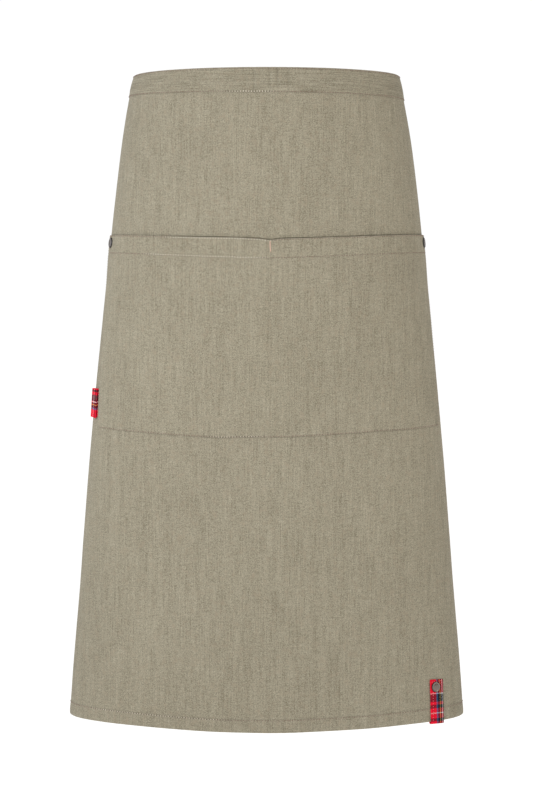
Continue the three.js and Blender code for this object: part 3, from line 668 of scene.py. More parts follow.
def canvas(name, colours, pitch, sideways=False, streak=0.5, lines=(), crease_shades=(), holes=(), gap=None):
    """Melange canvas: warp and weft yarns with slubs, flecks and a plain weave in its relief, with painted
    shade in the weave's valleys. Lines are places down the weave map with their widths and how much lighter
    or darker the cloth is painted there, mostly painted shade along seams and edges. Creases are the same
    across it, painted shade in ripples. Holes are needle holes painted dark as shade: "across" or "down",
    the row's place and its first and last hole. The gap is a strip of painted shade behind the pocket's
    open edge: its drop, its middle and half its width."""
    made, bench, shader = new_material(name)
    weave = bench.add("UVMap", uv_map="weave").outputs[0]
    parts = bench.add("SeparateXYZ", {0: weave})
    u, v = parts.outputs[0], parts.outputs[1]
    warp = bench.noise(weave, *((26, 900) if sideways else (900, 26)), detail=2.5, shift=3.1)
    weft = bench.noise(weave, *((900, 110) if sideways else (110, 900)), detail=2.5, shift=8.3)
    grain = bench.noise(weave, 1020, 1020, detail=1.5, shift=1.7)
    shadow = bench.noise(weave, *((9, 150) if sideways else (150, 9)), detail=1.0, shift=6.6)
    mottle = bench.noise(weave, 75, 48, detail=2.0, shift=5.2)
    cloud = bench.noise(weave, 11, 7, detail=1.0, shift=9.4)
    value = bench.math("MULTIPLY", warp, streak)
    value = bench.math("MULTIPLY_ADD", weft, 0.28, value)
    value = bench.math("MULTIPLY_ADD", grain, 1.2, value)
    value = bench.math("MULTIPLY_ADD", mottle, 0.12, value)
    value = bench.math("MULTIPLY_ADD", cloud, 0.1, value)
    value = bench.math("MULTIPLY_ADD", shadow, 0.16, value)
    middle = (streak + 1.86) / 2
    share = bench.add("MapRange", {0: value, 1: middle - 0.285, 2: middle + 0.28, 3: 0.0, 4: 1.0}).outputs[0]
    colour = bench.blend(share, colours.yarn_dark, colours.yarn_light)
    fleck = bench.noise(weave, 260, 190, detail=3.0, shift=4.6)
    fleck = bench.add("MapRange", {0: fleck, 1: 0.52, 2: 0.75, 3: 0.0, 4: 0.7}).outputs[0]
    colour = bench.blend(fleck, colour, colours.yarn_warm)
    size = 0.00056
    across = bench.math("DIVIDE", u, size)
    down = bench.math("DIVIDE", v, size)
    turns = bench.math("ADD", bench.math("FLOOR", across), bench.math("FLOOR", down))
    over = bench.math("ABSOLUTE", bench.math("MODULO", turns, 2.0))
    ridge_across = bench.math("ABSOLUTE", bench.math("SINE", bench.math("MULTIPLY", across, math.pi)))
    ridge_down = bench.math("ABSOLUTE", bench.math("SINE", bench.math("MULTIPLY", down, math.pi)))
    ridge = bench.add("Mix", {0: over, 2: ridge_across, 3: ridge_down}, data_type="FLOAT").outputs[0]
    # Painted shade: the weave's valleys are darkened, and the marks below darken the cloth further along seams, edges,
    # ripples, needle holes and behind the pocket's edge
    painted_shading = bench.add("MapRange", {0: ridge, 1: 0.0, 2: 0.6, 3: 0.72, 4: 1.03}).outputs[0]
    for place, width, change in lines:
        near = bench.near(v, place, width)
        painted_shading = bench.math("MULTIPLY", painted_shading, bench.math("MULTIPLY_ADD", near, change, 1.0))
    for place, width, change in crease_shades:
        near = bench.near(u, place, width)
        painted_shading = bench.math("MULTIPLY", painted_shading, bench.math("MULTIPLY_ADD", near, change, 1.0))
    # Painted shade in each needle hole
    for way, place, first, last in holes:
        over, along = (v, u) if way == "across" else (u, v)
        wave = bench.math("COSINE", bench.math("MULTIPLY", along, math.tau / pitch))
        spot = bench.math("MULTIPLY", bench.near(over, place, 0.0009), bench.math("MAXIMUM", wave, 0.0))
        spot = bench.math("MULTIPLY", spot, bench.within(along, (first + last) / 2, (last - first) / 2))
        painted_shading = bench.math("MULTIPLY", painted_shading, bench.math("MULTIPLY_ADD", spot, -0.66, 1.0))
    # Painted shade on the skirt's outer face in a strip just above the pocket's open edge, following the edge's pulls
    # and uneven along it
    if gap:
        pull, middle, half = gap
        for height, place, width in EDGE_PULLS:
            away = bench.math("DIVIDE", bench.math("SUBTRACT", u, place), width)
            fall = bench.math("EXPONENT", bench.math("MULTIPLY", bench.math("MULTIPLY", away, away), -1.0))
            pull = bench.math("MULTIPLY_ADD", fall, height, pull)
        below = bench.math("SUBTRACT", v, pull)
        gap_shade = bench.add(
            "MapRange", {0: below, 1: -0.0013, 2: -0.0008, 3: 0.0, 4: 1.0}, interpolation_type="SMOOTHSTEP"
        ).outputs[0]
        gap_shade = bench.math("MULTIPLY", gap_shade, bench.within(u, middle, half))
        gap_shade = bench.math("MULTIPLY", gap_shade, bench.add("Attribute", attribute_name="outside").outputs["Fac"])
        inside = bench.add("MapRange", {0: below, 1: 0.02, 2: 0.06, 3: 1.0, 4: 0.0}).outputs[0]
        uneven = bench.noise(weave, 30, 0, detail=2.0, shift=2.2)
        uneven = bench.add("MapRange", {0: uneven, 1: 0.35, 2: 0.65, 3: -0.45, 4: -0.74}).outputs[0]
        slack = bench.add("MapRange", {0: u, 1: -0.12, 2: -0.085, 3: 0.2, 4: 1.0}).outputs[0]
        taut = bench.add("MapRange", {0: u, 1: 0.07, 2: 0.15, 3: 1.0, 4: 0.7}).outputs[0]
        gap_shade = bench.math("MULTIPLY", bench.math("MULTIPLY", gap_shade, inside), bench.math("MULTIPLY", slack, taut))
        painted_shading = bench.math("MULTIPLY", painted_shading, bench.math("MULTIPLY_ADD", gap_shade, uneven, 1.0))
    shade = bench.add("CombineColor", {0: painted_shading, 1: painted_shading, 2: painted_shading}).outputs[0]
    colour = bench.blend(1.0, colour, shade, "MULTIPLY")
    height = bench.math("MULTIPLY_ADD", grain, 0.9, bench.math("MULTIPLY", ridge, 0.8))
    height = bench.math("MULTIPLY_ADD", warp, 0.8, height)
    bump = bench.add("Bump", {"Strength": 0.6, "Distance": 0.0002, "Height": height}).outputs[0]
    rough = bench.add("MapRange", {0: grain, 1: 0.3, 2: 0.7, 3: 0.82, 4: 0.96}).outputs[0]
    bench.tree.links.new(colour, shader.inputs["Base Color"])
    bench.tree.links.new(bump, shader.inputs["Normal"])
    bench.tree.links.new(rough, shader.inputs["Roughness"])
    shader.inputs["Sheen Weight"].default_value = 0.1
    shader.inputs["Sheen Roughness"].default_value = 0.55
    shader.inputs["Specular IOR Level"].default_value = 0.2
    return made


def thread(name, light, dark, gloss=0.55):
    """Sewing thread: its tone runs from dark to light, with twisted plies in its relief"""
    made, bench, shader = new_material(name)
    tone = bench.add("Attribute", attribute_name="tone").outputs["Fac"]
    place = bench.add("TexCoord").outputs["Object"]
    fuzz = bench.add("TexNoise", {"Vector": place, "Scale": 2600.0, "Detail": 3.0}).outputs[0]
    share = bench.math("ADD", tone, bench.add("MapRange", {0: fuzz, 1: 0.3, 2: 0.7, 3: -0.12, 4: 0.12}).outputs[0])
    colour = bench.blend(share, dark, light)
    ply = bench.add(
        "TexWave", {"Vector": place, "Scale": 900.0, "Distortion": 1.5}, wave_type="BANDS", bands_direction="DIAGONAL"
    ).outputs["Fac"]
    bump = bench.add("Bump", {"Strength": 0.5, "Distance": 0.0001, "Height": ply}).outputs[0]
    bench.tree.links.new(colour, shader.inputs["Base Color"])
    bench.tree.links.new(bump, shader.inputs["Normal"])
    shader.inputs["Roughness"].default_value = gloss
    shader.inputs["Sheen Weight"].default_value = 0.1
    return made


def stripe_ramp(bench, value, stripes):
    """Hard-edged stripes from (width, colour) pairs, over a value in metres"""
    whole = sum(width for width, colour in stripes)
    share = bench.math("DIVIDE", value, whole)
    node = bench.add("ValToRGB", {0: share})
    ramp = node.color_ramp
    ramp.interpolation = "CONSTANT"
    start = 0.0
    for k, (width, colour) in enumerate(stripes):
        stop = ramp.elements[0] if k == 0 else ramp.elements.new(start / whole)
        if k == 0:
            ramp.elements.remove(ramp.elements[1])
            stop.position = 0
        stop.color = tuple(colour)[:3] + (1,)
        start += width
    return node.outputs[0]


def checked_ribbon(name, warp_stripes, weft_stripes):
    """Checked ribbon: striped warp and weft yarns take turns on top along the fine lines of a twill"""
    made, bench, shader = new_material(name)
    weave = bench.add("UVMap", uv_map="weave").outputs[0]
    parts = bench.add("SeparateXYZ", {0: weave})
    u, v = parts.outputs[0], parts.outputs[1]
    stray = bench.noise(weave, 900, 900, detail=2.0)
    stray = bench.math("MULTIPLY", bench.math("SUBTRACT", stray, 0.5), 0.0002)
    warp = stripe_ramp(bench, bench.math("ADD", u, stray), warp_stripes)
    weft = stripe_ramp(bench, bench.math("ADD", v, stray), weft_stripes)
    twill = bench.math("FRACT", bench.math("DIVIDE", bench.math("ADD", u, v), 0.00062))
    over = bench.add("MapRange", {0: twill, 1: 0.22, 2: 0.6, 3: 0.0, 4: 1.0}).outputs[0]
    colour = bench.blend(over, weft, warp)
    colour = bench.blend(0.42, colour, bench.blend(1.0, weft, warp, "DARKEN"))
    yarn = bench.noise(weave, 2600, 260, detail=2.0, shift=2.4)
    tint = bench.add("MapRange", {0: yarn, 1: 0.3, 2: 0.7, 3: 0.8, 4: 1.15}).outputs[0]
    shade = bench.add("CombineColor", {0: tint, 1: tint, 2: tint}).outputs[0]
    colour = bench.blend(1.0, colour, shade, "MULTIPLY")
    ridge = bench.math("ABSOLUTE", bench.math("SINE", bench.math("MULTIPLY", twill, math.pi)))
    height = bench.math("MULTIPLY_ADD", yarn, 0.5, ridge)
    bump = bench.add("Bump", {"Strength": 0.5, "Distance": 0.00012, "Height": height}).outputs[0]
    bench.tree.links.new(colour, shader.inputs["Base Color"])
    bench.tree.links.new(bump, shader.inputs["Normal"])
    shader.inputs["Roughness"].default_value = 0.8
    shader.inputs["Specular IOR Level"].default_value = 0.15
    return made


def rivet_metal(name, colours, face):
    """Gunmetal with a face of turned lines, a rubbed rim, fine scratches and painted shade on the cap's side"""
    made, bench, shader = new_material(name)
    weave = bench.add("UVMap", uv_map="weave").outputs[0]
    radius = bench.add("SeparateXYZ", {0: weave}).outputs[1]
    place = bench.add("TexCoord").outputs["Object"]
    cloud = bench.add("TexNoise", {"Vector": place, "Scale": 900.0, "Detail": 4.0}).outputs[0]
    lines = bench.noise(weave, 3, 9000, detail=2.0)
    rim = bench.near(radius, 0.0052, 0.0005)
    rubbed = bench.math("MULTIPLY", rim, bench.add("MapRange", {0: cloud, 1: 0.35, 2: 0.65, 3: 0.35, 4: 1.0}).outputs[0])
    share = bench.math("MULTIPLY_ADD", lines, 0.25, rubbed)
    colour = bench.blend(share, face, colours.gunmetal_worn)
    # Painted shade: the cap's outer side is painted nearly black
    wall_shade = bench.add("MapRange", {0: radius, 1: 0.0053, 2: 0.0059, 3: 0.0, 4: 0.92}).outputs[0]
    colour = bench.blend(wall_shade, colour, (0.006, 0.005, 0.005))
    rough = bench.add("MapRange", {0: cloud, 1: 0.3, 2: 0.7, 3: 0.16, 4: 0.3}).outputs[0]
    bump = bench.add("Bump", {"Strength": 0.25, "Distance": 0.00008, "Height": bench.math("ADD", lines, cloud)}).outputs[0]
    bench.tree.links.new(colour, shader.inputs["Base Color"])
    bench.tree.links.new(rough, shader.inputs["Roughness"])
    bench.tree.links.new(bump, shader.inputs["Normal"])
    shader.inputs["Metallic"].default_value = 1.0
    shader.inputs["Specular Tint"].default_value = (0.32, 0.29, 0.28, 1)
    shader.inputs["Coat Weight"].default_value = 0.25
    shader.inputs["Coat Roughness"].default_value = 0.08
    return made


def finish_piece(piece, material, slot, *nodes):
    """Gives a piece its finish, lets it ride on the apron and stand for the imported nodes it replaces"""
    piece.data.materials.append(material)
    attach(piece, "root")
    if nodes:
        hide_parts(*nodes)
    return piece


def row_places(start, end, pitch):
    """Stitches lie between needle holes at whole pitches"""
    return (np.arange(math.ceil(start / pitch), math.floor(end / pitch)) + 0.5) * pitch


def thread_tones(along, pale, rng):
    """How pale each stitch of a row is, as painted light and shade: so pale between two places, where the thread stands
    lit, and brown beyond them, where it stands shaded
    """
    first, last, strength = pale
    tone = eased(along, first - 0.012, first + 0.012) * (1 - eased(along, last - 0.012, last + 0.012))
    return np.clip(tone * strength + rng.uniform(-0.08, 0.14, len(along)), 0, 1)


def sew_rows(cloth, name, rows, material, sizes, rng, level=None):
    """Sews rows of stitches. Each row is "across" or "down", its line, its start and end, the face that
    it lies on as a function, 1 outside or -1 inside, and where it is pale. Pale stitches are painted
    light and brown ones painted shade. The level moves rows with a pulled edge."""
    ats, ways, outs, tones = [], [], [], []
    for way, line, start, end, face, side, pale in rows:
        run = row_places(start, end, sizes.stitch_pitch)
        still = np.full(len(run), float(line))
        along, drop = (run, still) if way == "across" else (still, run)
        along = along + rng.normal(0, 0.00005, len(run))
        drop = drop + rng.normal(0, 0.00008, len(run))
        offset = face(along, drop) + 0 * run
        at, right, outwards, up = cloth.frames(along, level(along, drop) if level else drop, offset)
        tilt = rng.normal(0, 0.06, (len(run), 1))
        direction = right + up * tilt if way == "across" else up + right * tilt
        ats.append(at - outwards * side * sizes.stitch_width * 0.1)
        ways.append(unit(direction))
        outs.append(outwards * side)
        tones.append(thread_tones(along, pale, rng))
    laid = [np.concatenate(parts) for parts in (ats, ways, outs, tones)]
    made = stitch_mesh(name, *laid, sizes.stitch_pitch * 0.44, sizes.stitch_width)
    return finish_piece(made, material, "cloth")


def workbench(context):
    """The sizes, the colours and the worn cloth that every piece is made from"""
    settings = context.scene.bistro_apron
    return settings.sizes, settings.colours, WornCloth(settings.sizes)


class APRON_OT_skirt(bpy.types.Operator):
    """Makes the skirt panel with its folded hems"""

    bl_idname = "apron.skirt"
    bl_label = "Skirt panel"

    def execute(self, context):
        sizes, colours, cloth = workbench(context)
        top = 0.0203
        across = places(
            with_soft_ends(
                [
                    cloth.left,
                    cloth.left + sizes.side_hem_width,
                    cloth.left + sizes.side_hem_width + 0.001,
                    cloth.right - sizes.side_hem_width - 0.001,
                    cloth.right - sizes.side_hem_width,
                    cloth.right,
                ]
            ),
            0.0038,
        )
        downs = places(
            with_soft_ends(
                [top, 0.0295, 0.0305, cloth.hem_start - 0.001, cloth.hem_start, sizes.full_drop]
            ),
            0.0046,
        )
        along, drop = np.meshgrid(across, downs)
        from_side = np.minimum(along - cloth.left, cloth.right - along)
        from_end = np.minimum(drop - top, sizes.full_drop - drop)
        round_off = roundness(np.minimum(from_side, from_end), 0.0009)
        puff = 0.0003 * eased(drop, cloth.hem_start + 0.001, cloth.hem_start + 0.006)
        puff *= 1 - eased(drop, sizes.full_drop - 0.005, sizes.full_drop)
        seam = 0.00022 * np.exp(-(((drop - cloth.hem_start - 0.0012) / 0.0018) ** 2))
        outer = cloth.face + puff - seam
        side = eased(sizes.side_hem_width + 0.0006 - from_side, 0, 0.0006) * eased(drop, 0.0297, 0.0305)
        foot = eased(drop, cloth.hem_start - 0.0008, cloth.hem_start)
        inner = -cloth.face - sizes.cloth_thickness * np.maximum(side, foot)
        middle = (outer + inner) / 2
        panel = sheet_mesh(
            "skirt_panel",
            cloth.points(along, drop, middle + (outer - middle) * round_off),
            cloth.points(along, drop, middle + (inner - middle) * round_off),
            np.stack([along, drop], -1),
        )
        hem_row = cloth.hem_start + sizes.edge_inset
        finish = canvas(
            "skirt_canvas",
            colours,
            sizes.stitch_pitch,
            # Painted shade: a darker line along the hem's top edge, dark needle holes in part of the hem's row and a
            # strip behind the pocket's edge; the hem's lower edge is painted a little lighter
            lines=[(hem_row - 0.0014, 0.0009, -0.13), (sizes.full_drop, 0.0012, 0.1)],
            holes=[("across", hem_row, -0.22, -0.04)],
            gap=(sizes.pocket_drop, sizes.cloth_turn, sizes.pocket_half_width - 0.0008),
        )
        finish_piece(panel, finish, "cloth", "apron_body")
        return {"FINISHED"}


class APRON_OT_waistband(bpy.types.Operator):
    """Makes the waistband, a strip folded over the skirt's top edge"""

    bl_idname = "apron.waistband"
    bl_label = "Waistband"

    def execute(self, context):
        sizes, colours, cloth = workbench(context)
        slot = cloth.face + 0.0001
        face = float(cloth.band_face(0, 0))
        high = sizes.band_height
        rise = places([0.0035, high - 0.0038, high - 0.0004], 0.0016)[::-1]
        low = float(cloth.band_face(0, high))
        front = [(low - 0.0002, high), (low - 0.00005, high - 0.0002)]
        front += list(zip(cloth.band_face(0, rise), rise))
        turn = np.linspace(0.12, math.pi - 0.12, 13)
        fold = [(face * math.cos(t), 0.0022 * (1 - math.sin(t))) for t in turn]
        back = [(-out, level) for out, level in front[::-1]]
        inner = [(-slot - 0.0002, high), (-slot, high - 0.0003), (-slot, 0.016), (-slot, 0.003)]
        inner += [(-slot * 0.5, 0.0018), (slot * 0.5, 0.0018)]
        inner += [(slot, 0.003), (slot, 0.016), (slot, high - 0.0003), (slot + 0.0002, high)]
        section = np.array(front + fold + back + inner)
        across = places([cloth.left, *np.arange(-0.022, 0.034, 0.0009), cloth.right], 0.0034)
        along, which = np.meshgrid(across, np.arange(len(section)), indexing="ij")
        out, drop = section[which][..., 0], section[which][..., 1]
        girth = np.concatenate([[0], np.cumsum(np.hypot(*np.diff(section, axis=0).T))])
        band = swept_mesh("waistband_cloth", cloth.points(along, drop, out), np.stack([along, girth[which]], -1))
        finish = canvas(
            "band_canvas",
            colours,
            sizes.stitch_pitch,
            sideways=True,
            streak=0.9,
            # Painted shade: a darker line along the stitch row at the band's lower edge, a darker stretch across its
            # middle, dark streaks in its pressed ripples and dark needle holes
            lines=[(sizes.edge_inset, 0.0009, -0.06), (high / 2, high * 0.8, -0.07)],
            crease_shades=[(-0.0148, 0.0016, -0.13), (0.0034, 0.0018, -0.1), (0.0128, 0.0016, -0.13), (0.0252, 0.0018, -0.1)],
            holes=[("across", sizes.edge_inset + 0.0002, -0.05, 0.012)],
        )
        finish_piece(band, finish, "cloth", "waistband")
        return {"FINISHED"}


class APRON_OT_pocket(bpy.types.Operator):
    """Makes the wide front pocket with its doubled top hem"""

    bl_idname = "apron.pocket"
    bl_label = "Pocket"

    def execute(self, context):
        sizes, colours, cloth = workbench(context)
        across = places(with_soft_ends([cloth.pocket_left, sizes.cloth_turn, cloth.pocket_right]), 0.0027)
        hem_end = sizes.pocket_drop + sizes.pocket_hem
        downs = places(
            with_soft_ends(
                [
                    sizes.pocket_drop,
                    sizes.pocket_drop + 0.003,
                    hem_end - 0.0022,
                    hem_end,
                    hem_end + 0.0008,
                    cloth.pocket_end - 0.0034,
                    cloth.pocket_end,
                ]
            ),
            0.0034,
        )
        along, drop = np.meshgrid(across, downs)
        from_side = np.minimum(along - cloth.pocket_left, cloth.pocket_right - along)
        from_end = np.minimum(drop - sizes.pocket_drop, cloth.pocket_end - drop)
        round_off = roundness(np.minimum(from_side, from_end), 0.0009)
        outer = cloth.pocket_out(along, drop)
        layers = 2 - eased(drop, hem_end, hem_end + 0.0008)
        inner = outer - layers * sizes.cloth_thickness
        outer = cloth.pocket_face(along, drop)
        middle = (outer + inner) / 2
        level = cloth.pocket_level(along, drop)
        pocket = sheet_mesh(
            "front_pocket",
            cloth.points(along, level, middle + (outer - middle) * round_off),
            cloth.points(along, level, middle + (inner - middle) * round_off),
            np.stack([along + 406 * sizes.stitch_pitch, drop], -1),
        )
        shift = 406 * sizes.stitch_pitch
        finish = canvas(
            "pocket_canvas",
            colours,
            sizes.stitch_pitch,
            # Painted shade: darker lines along the hem's stitch row and along the pocket's bottom and top edges, and
            # dark needle holes in its rows
            lines=[
                (hem_end - 0.0004, 0.0009, -0.06),
                (cloth.pocket_end - 0.0001, 0.0006, -0.16),
                (sizes.pocket_drop, 0.0005, -0.15),
            ],
            holes=[
                ("across", sizes.pocket_drop + sizes.edge_inset, shift - 0.126, shift + 0.01),
                ("across", hem_end - 0.0006, shift - 0.151, shift),
                ("across", cloth.pocket_end - sizes.edge_inset, shift - 0.08, shift),
            ],
        )
        finish_piece(pocket, finish, "cloth", "pocket")
        return {"FINISHED"}


class APRON_OT_rivets(bpy.types.Operator):
    """Makes the two pocket rivets and the hem tab's rivet"""

    bl_idname = "apron.rivets"
    bl_label = "Rivets"

    def execute(self, context):
        sizes, colours, cloth = workbench(context)
        # The pocket rivets get the lighter gunmetal, a painted reflection on their faces
        glint_painted = rivet_metal("gunmetal_glint_painted", colours, colours.gunmetal_glint_painted)
        matt = rivet_metal("gunmetal", colours, colours.gunmetal)
        level = sizes.pocket_drop + 0.0095
        tab_out = cloth.face + cloth.gap + 0.001
        spots = [
            ("pocket_rivet_left", cloth.pocket_left + 0.0112, level, None),
            ("pocket_rivet_right", cloth.pocket_right - 0.0118, level, None),
            ("hem_rivet", sizes.cloth_turn + 0.2043, sizes.full_drop - sizes.tab_length + 0.0079, tab_out),
        ]
        r, h = sizes.rivet_radius, sizes.rivet_height
        for name, along, drop, out in spots:
            along, drop = np.array([along]), np.array([drop])
            out = cloth.pocket_out(along, drop) if out is None else np.array([out])
            back = -(out[0] + cloth.face) - 0.0009 - (0.0013 if name == "hem_rivet" else 0)
            lift = cloth.gap / 3
            profile = [
                (0, back - 0.001),
                (0.0044, back - 0.001),
                (0.005, back - 0.0007),
                (0.005, back - 0.0002),
                (0.0047, back),
                (0.0015, back),
                (0.0015, lift),
                (r * 0.93, lift),
                (r * 0.98, lift + h * 0.1),
                (r, lift + h * 0.28),
                (r * 0.985, lift + h * 0.5),
                (r * 0.94, lift + h * 0.7),
                (r * 0.87, lift + h * 0.81),
                (r * 0.81, lift + h * 0.79),
                (r * 0.76, lift + h * 0.7),
                (r * 0.72, lift + h * 0.66),
                (r * 0.66, lift + h * 0.68),
                (r * 0.5, lift + h * 0.78),
                (r * 0.3, lift + h * 0.88),
                (r * 0.12, lift + h * 0.92),
                (0, lift + h * 0.93),
            ]
            at, right, outwards, up = (value[0] for value in cloth.frames(along, drop, out))
            cap = turned_mesh(name + "_cap", profile, at, right, outwards, up)
            finish_piece(cap, matt if name == "hem_rivet" else glint_painted, "rivet", name)
        return {"FINISHED"}


class APRON_OT_side_loop(bpy.types.Operator):
    """Makes the checked ribbon loop at the pocket's left edge"""

    bl_idname = "apron.side_loop"
    bl_label = "Side loop"

    def execute(self, context):
        sizes, colours, cloth = workbench(context)
        thick = 0.0009
        start = cloth.face + cloth.gap
        top, foot = 0.388, 0.388 + sizes.loop_height
        low = start + thick / 2
        high = start + 0.0028 - thick / 2
        bend = (high - low) / 2
        reach = sizes.loop_reach - thick / 2
        turn = np.linspace(-math.pi / 2, math.pi / 2, 11)
        back = [(x, low) for x in np.linspace(cloth.gap, reach - bend, 7)]
        round_end = [(reach - bend + bend * math.cos(t), (low + high) / 2 + bend * math.sin(t)) for t in turn[1:-1]]
        front = [(x, high) for x in np.linspace(reach - bend, cloth.gap, 7)]
        path = np.array(back + round_end + front)
        way = unit(np.gradient(path, axis=0))
        side = np.stack([way[:, 1], -way[:, 0]], 1)
        run = np.concatenate([[0], np.cumsum(np.hypot(*np.diff(path, axis=0).T))])
        levels = places(with_soft_ends([top, foot]), 0.0016)
        edge_at, right, outwards, up = cloth.frames(
            np.full(1, cloth.pocket_left), np.full(1, (top + foot) / 2), np.zeros(1)
        )
        across = -right[0]
        grid = []
        for sign in (1, -1):
            layer = []
            for level in levels:
                share = (level - top) / (foot - top)
                base = cloth.points(np.full(1, cloth.pocket_left), np.full(1, level), np.zeros(1))[0]
                base = base - outwards[0] * cloth.relief(np.full(1, cloth.pocket_left), np.full(1, level))[0]
                soft = roundness(min(level - top, foot - level), 0.0005)
                spread = path + side * sign * thick / 2 * soft
                droop = 0.001 * eased(run, 0.01, run[-1]) * (0.4 + share)
                flare = 1 + 0.04 * share
                layer.append(
                    base
                    + across * (spread[:, :1] * flare)
                    + outwards[0] * spread[:, 1:]
                    - up[0] * droop[:, None]
                )
            grid.append(np.array(layer))
        lengths, levels_down = np.meshgrid(run, levels - top)
        loop = sheet_mesh("side_loop_ribbon", grid[0], grid[1], np.stack([levels_down, lengths], -1))
        red, dark, white = colours.ribbon_red, colours.ribbon_black, colours.ribbon_white
        finish = checked_ribbon(
            "loop_check",
            [
                (0.0015, red),
                (0.0025, dark),
                (0.0035, red),
                (0.0055, colours.ribbon_green),
                (0.0023, dark),
                (0.0014, white),
                (0.0021, dark),
                (0.0013, colours.ribbon_yellow),
                (0.0028, dark),
                (0.0021, colours.ribbon_blue),
                (0.011, red),
            ],
            [(0.0214, red), (0.0013, white), (0.0028, red), (0.0018, dark), (0.008, red)],
        )
        finish_piece(loop, finish, "ribbon", "side_loop")
        return {"FINISHED"}


class APRON_OT_hem_tab(bpy.types.Operator):
    """Makes the checked ribbon folded round the hem"""

    bl_idname = "apron.hem_tab"
    bl_label = "Hem tab"

    def execute(self, context):
        sizes, colours, cloth = workbench(context)
        left = sizes.cloth_turn + 0.207 - 0.0105
        top = sizes.full_drop - sizes.tab_length
        back_top = sizes.full_drop - 0.046
        end = sizes.full_drop + 0.0018
        outer = cloth.face + cloth.gap + 0.001
        inner = -cloth.face - cloth.gap - 0.002
        thick = 0.00095
        front = [(outer - thick / 2, level) for level in places([top, end - 0.0012], 0.0018)]
        middle, half = (outer + inner) / 2, (outer - inner) / 2 - thick / 2
        turn = np.linspace(0, math.pi, 11)[1:-1]
        fold = [(middle + half * math.cos(t), end - 0.0008 + 0.0014 * math.sin(t)) for t in turn]
        back = [(inner + thick / 2, level) for level in places([back_top, end - 0.0012], 0.0018)[::-1]]
        path = np.array(front + fold + back)
        way = unit(np.gradient(path, axis=0))
        side = np.stack([way[:, 1], -way[:, 0]], 1)
        run = np.concatenate([[0], np.cumsum(np.hypot(*np.diff(path, axis=0).T))])
        across = places(with_soft_ends([left, left + sizes.tab_width]), 0.0012)
        along, which = np.meshgrid(across, np.arange(len(path)))
        from_side = np.minimum(along - left, left + sizes.tab_width - along)
        from_end = np.minimum(run[which], run[-1] - run[which])
        soft = roundness(np.minimum(from_side, from_end), 0.0005)
        fallen = run[which] / run[-1]
        lean = 0.0021 * (fallen - 0.2) - 0.04 * fallen * (along - left)
        across_share = (along - left) / sizes.tab_width
        slant = 0.0008 * across_share * eased(path[which][..., 1], end - 0.02, end)
        slant -= 0.0014 * (1 - across_share) * (1 - eased(path[which][..., 1], top, end))
        curl = 0.00025 * (1 - np.clip(from_side / 0.004, 0, 1)) ** 2 * np.where(path[which][..., 0] > 0, 1, 0)
        layers = [
            cloth.points(
                along + lean,
                path[which][..., 1] + slant + side[which][..., 1] * sign * thick / 2 * soft,
                path[which][..., 0] + curl + side[which][..., 0] * sign * thick / 2 * soft,
            )
            for sign in (1, -1)
        ]
        tab = sheet_mesh("hem_tab_ribbon", layers[0], layers[1], np.stack([along - left, run[which]], -1))
        red, dark, white = colours.ribbon_red, colours.ribbon_black, colours.ribbon_white
        finish = checked_ribbon(
            "tab_check",
            [
                (0.0086, red),
                (0.0022, colours.ribbon_blue),
                (0.003, dark),
                (0.0009, colours.ribbon_yellow),
                (0.0021, dark),
                (0.0009, white),
                (0.0016, colours.ribbon_green),
            ],
            [
                (0.0155, red),
                (0.0012, white),
                (0.0087, dark),
                (0.0034, red),
                (0.0038, dark),
                (0.0048, red),
                (0.0012, white),
                (0.0051, red),
                (0.0036, dark),
                (0.012, red),
                (0.004, dark),
                (0.009, red),
                (0.0011, white),
                (0.009, dark),
                (0.02, red),
            ],
        )
        finish_piece(tab, finish, "ribbon", "hem_tab")
        return {"FINISHED"}


